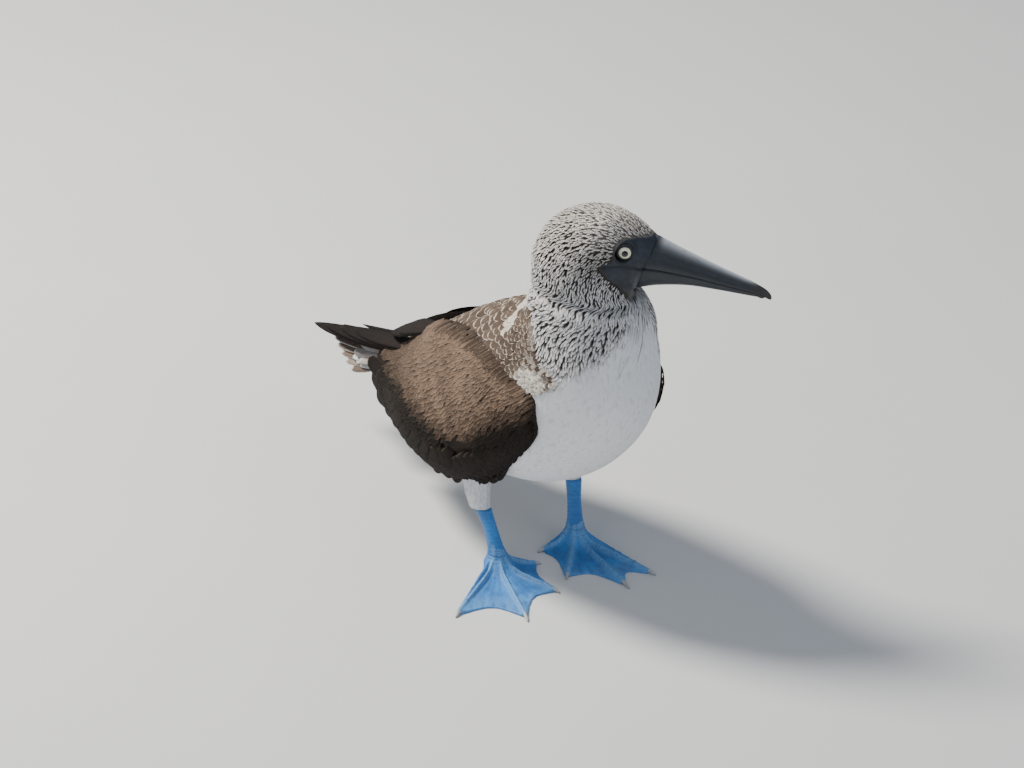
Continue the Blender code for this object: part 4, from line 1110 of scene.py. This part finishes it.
def make_tail():
    """The tail's feathers in a roof-shaped wedge, with short coverts over and under their roots."""
    roots, tips, normals, tints = [], [], [], []
    for k in range(TAIL_PAIRS):
        share = k / (TAIL_PAIRS - 1)
        end_y = 306 - 64 * share**1.2
        for side in (LEFT, RIGHT):
            height = 103 - 7.6 * share - (0.95 if side == LEFT else 0)
            roots.append((side * (1 + 8 * share), 206, height))
            tips.append((side * (4 + 23 * share), end_y, height - 0.15 * (end_y - 212) - 7 * share))
            normals.append((side * 0.45 * share, 0.15, 1))
            tints.append(TAIL_TINTS[k])
    tail = Vanes(FLIGHT_STATIONS, 7, ROUND_WIDTHS)
    tints = np.array(tints)[:, None]
    where, length = blades(roots, tips, normals)

    def rise(t, w):
        return 0.3 * w

    def tint(t, w):
        pale = smoothstep(0.52 - t - 0.2 * np.abs(w), -0.15, 0.2)[..., None]
        return tints * (1 - pale) + WHITE * 0.8 * pale

    tail.lay(where, length, 9.6, 0.5, 0.12, rise, 0.5, tint, edge=0.9, shaft=0.9)
    tail.piece("tail_feathers", TAIL_FEATHER, "tail_feather", ("tail",))

    coverts = Vanes(FLIGHT_STATIONS, 5, ROUND_WIDTHS)
    for under in (False, True):
        count = TAIL_COVERTS
        lane = np.linspace(-1, 1, count) + RANDOM.normal(0, 0.03, count)
        step = RANDOM.random(count)
        start_y, end_y = 196 + 18 * step, 232 + 26 * step - 8 * np.abs(lane)
        top = 107 - 6 * np.abs(lane) if not under else 93 + 3 * np.abs(lane)
        fall = -0.15 if not under else 0.0
        roots = np.stack([lane * 12, start_y, top], -1)
        tips = np.stack([lane * 24, end_y, top + fall * (end_y - start_y) - 6 * np.abs(lane)], -1)
        way = -1 if under else 1
        normals = np.stack([way * lane * 0.5, np.full(count, 0.1), np.full(count, way)], -1)
        where, length = blades(roots, tips, normals)
        plain = WHITE if under else BROWN * 1.6 + 0.3 * WHITE
        shade = plain * (0.75 + 0.35 * RANDOM.random(count))[:, None]

        def rise_covert(t, w):
            return 1.5 * t

        def tint_covert(t, w):
            return shade[:, None]

        coverts.lay(where, length, 6.5, 0.4, 0.1, rise_covert, 0.3, tint_covert, edge=0.5, shaft=0.2)
    coverts.piece("tail_coverts", TAIL_FEATHER, "tail_feather")


# The bill, the eyes and the lids


def make_bill():
    """Both halves of the bill as fine lofts: a ridged culmen, a groove along the side and a hooked nail."""
    rows = smooth_rows([(*top, *bottom, *rest) for top, bottom, *rest in BILL_STATIONS], 14)
    angles = np.linspace(0, math.pi, 41)
    cosines, sines = np.cos(angles), np.sin(angles)
    groove = 0.055 * bell(np.abs(cosines) - 0.80, 0.09)
    ridge = 0.05 * bell(cosines, 0.22) - 0.05 * bell(np.abs(cosines) - 0.5, 0.2)
    for name, upper, tip in (("bill_upper", True, BILL_TIP), ("bill_lower", False, LOWER_BILL_TIP)):
        end = on_head(*tip)
        swell = (1 - groove + ridge if upper else 1) - 0.03 * bell(sines, 0.08)
        grid, along_shares = [], []
        steps = [(row, 0.0) for row in rows] + [(rows[-1], share) for share in (0.3, 0.55, 0.75, 0.9)]
        for k, ((top_a, top_z, bottom_a, bottom_z, half_width, middle), share) in enumerate(steps):
            top, bottom = on_head(top_a, top_z), on_head(bottom_a, bottom_z)
            up = unit(top - bottom)
            centre = bottom + (top - bottom) * middle + up * (0.12 if upper else -0.12)
            tall = np.dot((top if upper else bottom) - centre, up)
            wide, high = half_width * cosines * swell, tall * sines * swell
            ring = centre + across(HEAD_TURN) * wide[:, None] + up * high[:, None]
            shrink = math.sqrt(max(0.0, 1 - share**2))
            grid.append(end * share + (ring - centre) * shrink + centre * (1 - share))
            along_shares.append(min(1.0, k / (len(rows) - 1)) if share == 0 else 1.0)
        root = grid[0].mean(axis=0)
        grid[0] = root + (grid[0] - root) * 0.97 - unit(grid[1].mean(axis=0) - root) * 2.5
        points, faces = closed_tube(np.array(grid), end)
        if not upper:
            faces = faces[:, ::-1]
        count = len(grid)
        along = np.repeat(along_shares, len(angles))
        angle = np.tile(angles / math.pi, count)
        # A painted highlight along the top of the upper half, weaker on the lower half, carried as edge.
        painted_shine = np.tile(bell(cosines, 0.36), count) * smoothstep(along, 0.0, 0.1)
        painted_shine = painted_shine * (1.0 if upper else 0.25)
        # Painted shade at the cutting edges, in the gap between the halves, carried as bare.
        edge = np.tile(0.7 * bell(sines, 0.035), count)
        ends = [[0.5, 0, 0], [0.5, 1, 0]]
        new_piece(name + "_horn", points, faces, HORN, "bill_horn", (name,),
                  vane=np.concatenate([np.stack([angle, along, 0 * along], -1), ends]),
                  edge=np.concatenate([painted_shine, [0, 0]]), bare=np.concatenate([edge, [0, 0]]))


EYE_OPENING, EYE_RINGS, EYE_SIDES = 5.0, 44, 48
EYE_OUT, EYE_AXIS_AHEAD = 20.6, 0.14
LID_SIDES, LID_ROUND = 64, 14
LID_RADIUS, LID_THICKNESS, LID_OUT = 5.9, 1.05, 4.3


def eye_axis(side):
    return unit(across(HEAD_TURN) * side + ahead(HEAD_TURN) * EYE_AXIS_AHEAD)


def make_eye(side):
    """An eyeball with a clear bulge over its iris, and the ring of lid skin round it."""
    name = SIDE_NAMES[side]
    axis = eye_axis(side)
    level = unit(np.cross([0, 0, 1], axis))
    rise = np.cross(axis, level)
    centre = on_head(EYE_FORWARD, EYE_HEIGHT, side * EYE_OUT)
    tilt, spin = np.meshgrid(np.linspace(0.001, math.pi - 0.001, EYE_RINGS), circle(EYE_SIDES), indexing="ij")
    radius = EYE_RADIUS - 0.25 + 0.3 * bell(tilt, 0.5)
    out = np.sin(tilt)[..., None]
    turned = level * np.cos(spin)[..., None] + rise * np.sin(spin)[..., None]
    points = centre + radius[..., None] * (axis * np.cos(tilt)[..., None] + out * turned)
    share = np.where(tilt < math.pi / 2, np.sin(tilt) * EYE_RADIUS / EYE_OPENING, 2)
    lie = np.stack([share, spin / 2 / math.pi, 0 * tilt], -1)
    faces = grid_faces(EYE_RINGS, EYE_SIDES, True)
    new_piece(f"eyeball_{name}", points.reshape(-1, 3), faces, EYE, "eye_surface", (f"eye_{name}",),
              vane=lie.reshape(-1, 3))
    around, roll = np.meshgrid(circle(LID_SIDES), circle(LID_ROUND), indexing="ij")
    turned = level * np.cos(around)[..., None] + rise * np.sin(around)[..., None] * 0.93
    wrinkle = 1 + 0.10 * np.sin(around * 23) * np.sin(around * 9 + 1)
    away = LID_RADIUS + LID_THICKNESS * wrinkle * np.cos(roll) * 1.25
    proud = LID_OUT + LID_THICKNESS * wrinkle * np.sin(roll)
    points = centre + turned * away[..., None] + axis * proud[..., None]
    i, j = np.meshgrid(np.arange(LID_SIDES), np.arange(LID_ROUND), indexing="ij")
    here, after, across_j = i * LID_ROUND, (i + 1) % LID_SIDES * LID_ROUND, (j + 1) % LID_ROUND
    quads = np.stack([here + j, here + across_j, after + across_j, after + j], -1)
    flat = points.reshape(-1, 3)
    uv = np.stack([around, roll], -1).reshape(-1, 2) / 7 + 0.05
    new_piece(f"lids_{name}", flat, quads.reshape(-1, 4), SKIN, "streaked_feather", (), uv,
              tint=np.broadcast_to(SLATE * 0.5, flat.shape), bare=np.ones(len(flat)))


# The legs and feet

# The thigh's sections, for the left leg before its foot is set: x, y, height, half width and half depth.
THIGH = [
    (46, 17, 53, 9.0, 10.6), (45.5, 21, 64, 10.6, 13.0), (43, 26, 80, 12.5, 16.6), (38, 30, 100, 14.0, 20.0),
]
THIGH_FROM = (40, 1)
ANKLES = {LEFT: (42.5, 5.5), RIGHT: (-36.5, 3.5)}
FOOT_TURNS = {LEFT: -6, RIGHT: 18}
# Each toe: its name, its angle from straight ahead, its length and its claw's.
TOES = [("hallux", -85, 32, 5), ("2", -35, 60, 6), ("3", 0, 81, 10), ("4", 0, 80, 7)]
FOURTH_TOE = {LEFT: 20, RIGHT: 38}
LEG_VOXEL_MM = 0.8
CLAW_SIDES, CLAW_RINGS = 16, 12


def foot_way(side, angle):
    turned = math.radians(angle + FOOT_TURNS[side])
    return np.array([side * math.sin(turned), -math.cos(turned), 0])


def toes(side):
    return [(name, FOURTH_TOE[side] if name == "4" else angle, *sizes) for name, angle, *sizes in TOES]


def make_thigh(side):
    """A feathered thigh, down to where the bare leg starts."""
    name = SIDE_NAMES[side]
    shift = np.array([ANKLES[side][0] - side * THIGH_FROM[0], ANKLES[side][1] - THIGH_FROM[1], FLOOR + 0.6])
    angles = circle(72)
    grid = []
    for x, y, z, half_across, half_along in smooth_rows(THIGH, 12):
        wide, deep = half_across - 1.2, half_along - 1.2
        ring = np.stack([np.cos(angles) * wide, np.sin(angles) * deep, 0 * angles], -1)
        grid.append(ring + (side * x, y, z) + shift)
    surface = Surface(np.array(grid), True)
    points, faces = closed_tube(surface.points)
    new_piece(f"thigh_skin_{name}", points, faces, SKIN, "body_feather", (f"thigh_{name}",), surface.unwrap(),
              tint=np.broadcast_to(WHITE * 0.8, points.shape), bare=np.zeros(len(points)))
    u, v, _ = scattered(surface, lambda p: np.full(len(p), 1.9), lambda p, n: np.ones(len(p), bool), 12000)
    u = np.maximum(u, 3.5)
    shade = (WHITE * (0.82 + 0.2 * RANDOM.random(len(u)))[:, None])[:, None]
    tufts = Vanes(TUFT_STATIONS, 3, TUFT_WIDTHS)
    draw = RANDOM.random(len(u))

    def rise(t, w):
        return -0.3 + 1.0 * t + 0.3 * (draw[:, None] - 0.5) * t

    def tint(t, w):
        return shade * (0.8 + 0.25 * t)[..., None]

    length = np.minimum(7.0, 2.0 + 1.4 * u) * (0.8 + 0.3 * draw)
    where = over(surface, u, v, -surface.at(u, v)[2], 0.2)
    tufts.lay(where, length, 1.5, 0.08, 0.1, rise, surface.bake_uv(u, v), tint, edge=0.0)
    tufts.piece(f"coat_thigh_{name}", SOFT, "body_feather", soft=0.9)


def leg_mesh(name):
    """The CAD's bare leg and foot of one side, joined in one skin with small even faces."""
    bm = bmesh.new()
    for part in ("tarsus", "foot"):
        bm.from_mesh(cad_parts[f"{part}_{name}"].data)
    joined = bpy.data.meshes.new("leg")
    bm.to_mesh(joined)
    bm.free()
    holder = put("leg", joined)
    swell = holder.modifiers.new("swell", "DISPLACE")
    swell.strength, swell.mid_level = 0.25 * MM, 0.0
    remesh = holder.modifiers.new("remesh", "REMESH")
    remesh.mode, remesh.voxel_size = "VOXEL", LEG_VOXEL_MM * MM
    smooth = holder.modifiers.new("smooth", "SMOOTH")
    smooth.factor, smooth.iterations = 0.5, 3
    found = bpy.data.meshes.new_from_object(holder.evaluated_get(bpy.context.evaluated_depsgraph_get()))
    bpy.data.objects.remove(holder)
    return found


def leg_relief(side, points):
    """How far each point of a leg stands out, how pale it is, and how much painted shade its creases get."""
    flat = points[:, :2] - ANKLES[side]
    radius = np.hypot(flat[:, 0], flat[:, 1])
    height = points[:, 2] - FLOOR
    ridge, crease_shade, relief = np.zeros((3, len(points)))
    for _, angle, length, _ in toes(side):
        way = foot_way(side, angle)[:2]
        along, aside = flat @ way, flat @ [-way[1], way[0]]
        on_toe = bell(aside, 2.8) * (along > 6) * (along < length + 2)
        ridge = np.maximum(ridge, on_toe)
        scute = np.abs(np.sin(along * math.pi / 2.7))
        relief += on_toe * (0.25 * scute - 0.1)
        for joint in (0.34, 0.58, 0.8):
            knuckle = bell(along - joint * length, 2.6) * bell(aside, 4)
            relief += 0.45 * knuckle * (length > 40)
            crease_shade = np.maximum(crease_shade, 0.8 * bell(along - joint * length, 0.5) * on_toe)
        crease_shade = np.maximum(crease_shade, 0.6 * on_toe * (scute < 0.25))
    web = (1 - ridge) * smoothstep(radius, 12, 20) * (height < 12)
    bearing = np.arctan2(flat[:, 1], flat[:, 0])
    folds = np.sin(bearing * 46 + 0.8 * np.sin(radius / 6)) * 0.6 + waves(points, 41, 8) * 0.7
    relief += web * 0.16 * folds
    crease_shade = np.maximum(crease_shade, web * 0.5 * smoothstep(-folds, 0.3, 1.0))
    rim = web * smoothstep(radius, 45, 60) * 0.3
    shank = smoothstep(height, 13, 20)
    rings = np.abs(np.sin((height + 1.5 * np.sin(bearing + 0.5)) * math.pi / 3.6))
    relief += shank * (0.22 * rings - 0.1)
    crease_shade = np.maximum(crease_shade, 0.55 * shank * (rings < 0.2))
    ankle = bell(height - 15, 3.0) * (radius < 14)
    relief += ankle * 0.5 * np.sin(height * 2.4)
    crease_shade = np.maximum(crease_shade, ankle * 0.5 * (np.sin(height * 2.4) < -0.3))
    return relief * smoothstep(height, 0.2, 1.2), ridge * 0.8 + rim, crease_shade


def make_leg(side):
    """The bare leg and webbed foot in one skin, with scutes, knuckles, web folds and rings at the ankle."""
    name = SIDE_NAMES[side]
    found = leg_mesh(name)
    points, normals = np.empty((2, len(found.vertices) * 3))
    found.vertices.foreach_get("co", points)
    found.vertices.foreach_get("normal", normals)
    points, normals = points.reshape(-1, 3) / MM - OFFSET, normals.reshape(-1, 3)
    relief, pale, crease_shade = leg_relief(side, points)
    coords = to_frame(points + normals * relief[:, None])
    coords[:, 2] = np.maximum(coords[:, 2], 0)
    found.vertices.foreach_set("co", coords.astype(np.float32).ravel())
    # bare carries the painted shade of the creases.
    add_attributes(found, {"edge": pale, "bare": crease_shade})
    found.materials.clear()
    found.materials.append(FOOT)
    found.polygons.foreach_set("use_smooth", np.ones(len(found.polygons), bool))
    found.name = f"leg_skin_{name}"
    declare(put(found.name, found), (f"tarsus_{name}", f"foot_{name}"))
    for toe_name, angle, length, claw_length in toes(side):
        make_claw(side, toe_name, foot_way(side, angle), length, claw_length)


def make_claw(side, toe_name, way, toe_length, claw_length):
    """A smooth claw that curves down to a blunt point."""
    aside = np.cross(way, [0, 0, 1])
    centre = np.array([*ANKLES[side], FLOOR])
    angles = circle(CLAW_SIDES)
    grid = []
    for share in np.linspace(-0.12, 0.96, CLAW_RINGS):
        radius = 1.75 * math.sqrt(max(0.0, 1 - max(share, 0) ** 1.6)) * (0.95 if share > 0 else 1.1)
        height = 0.25 + 1.9 - 1.6 * max(share, 0) ** 1.4
        middle = centre + way * (toe_length + claw_length * share) + (0, 0, max(height, radius + 0.1))
        high = np.sin(angles) * radius
        ring = aside * (np.cos(angles) * radius * 0.85)[:, None] + np.outer(high, (0, 0, 1))
        grid.append(middle + ring)
    tip = centre + way * (toe_length + claw_length) + (0, 0, 0.45)
    points, faces = closed_tube(np.array(grid), tip)
    along = np.concatenate([np.repeat(np.linspace(0, 0.9, CLAW_RINGS), CLAW_SIDES), [0, 0.9]])
    around = np.concatenate([np.tile(angles / 6.3, CLAW_RINGS), [0, 0]])
    # edge spreads half the painted sheen over the whole claw.
    new_piece(f"claw_horn_{SIDE_NAMES[side]}_{toe_name}", points, faces, CLAW, "claw_horn",
              (f"claw_{SIDE_NAMES[side]}_{toe_name}",), vane=np.stack([around, along, 0 * along], -1),
              edge=0.5 + 0 * along, bare=0 * along)


# The stage and the camera

AIM_HEIGHT = 0.16
# Each light: its name, place in metres, width, power and colour.
LIGHTS = [
    ("key", (-1.0, 1.4, 2.4), 0.8, 165, (1.0, 0.95, 0.88)),
    ("fill", (0.6, -2.4, 1.2), 1.8, 12, (0.86, 0.93, 1.0)),
    ("side", (-2.2, -0.9, 0.9), 1.6, 7, (0.95, 0.97, 1.0)),
]


def make_stage():
    """A wide pale floor, a large key light above the bird's back, soft cooler fills and a pale blue sky."""
    made, tree, shader = new_material("studio_floor")
    cloud = noise(tree, place(tree), 3.0)
    colour = mix(tree, cloud, (0.60, 0.61, 0.61), (0.66, 0.66, 0.65))
    feed(tree, shader, {"Base Color": colour, "Roughness": 0.7})
    bm = bmesh.new()
    bmesh.ops.create_grid(bm, x_segments=1, y_segments=1, size=20)
    mesh = bpy.data.meshes.new("studio_floor")
    bm.to_mesh(mesh)
    bm.free()
    mesh.materials.append(made)
    floor = put("studio_floor", mesh)
    world = bpy.data.worlds.new("studio_world")
    world.use_nodes = True
    background = world.node_tree.nodes["Background"]
    feed(world.node_tree, background, {"Color": (0.78, 0.86, 1.0, 1), "Strength": 0.42})
    bpy.context.scene.world = world
    for name, spot, size, power, colour in LIGHTS:
        lamp = bpy.data.lights.new(name, "AREA")
        lamp.shape = "DISK"
        lamp.size, lamp.energy, lamp.color = size, power, colour
        holder = put(name, lamp)
        holder.location = spot
        way = Vector((0, 0, AIM_HEIGHT)) - Vector(spot)
        holder.rotation_euler = way.to_track_quat("-Z", "Y").to_euler()


def make_camera():
    sine, cosine = math.sin(CAMERA_ELEVATION), math.cos(CAMERA_ELEVATION)
    back = np.array([math.sin(CAMERA_AZIMUTH) * cosine, -math.cos(CAMERA_AZIMUTH) * cosine, sine])
    right = unit(np.cross(-back, [0, 0, 1]))
    up = np.cross(back, right)
    focal = CAMERA_DISTANCE / MM_PER_PIXEL
    aside = (AIM_PIXEL[0] - IMAGE_SIZE[0] / 2) / focal
    above = (IMAGE_SIZE[1] / 2 - AIM_PIXEL[1]) / focal
    spot = np.array(AIM_POINT) - CAMERA_DISTANCE * (-back + aside * right + above * up)
    lens = bpy.data.cameras.new("camera")
    lens.sensor_width = SENSOR_MM
    lens.lens = SENSOR_MM * focal / IMAGE_SIZE[0]
    lens.clip_end = 50
    camera = put("camera", lens)
    turn = Matrix([right, up, back]).transposed().to_4x4()
    camera.matrix_world = Matrix.Translation(Vector(to_frame(spot))) @ turn
    bpy.context.scene.camera = camera


make_stage()
make_camera()
make_skin(TRUNK)
make_body_coat()
make_mantle_coat()
make_tail()
make_bill()
for side in (LEFT, RIGHT):
    make_wing(side)
    make_eye(side)
    make_thigh(side)
    make_leg(side)
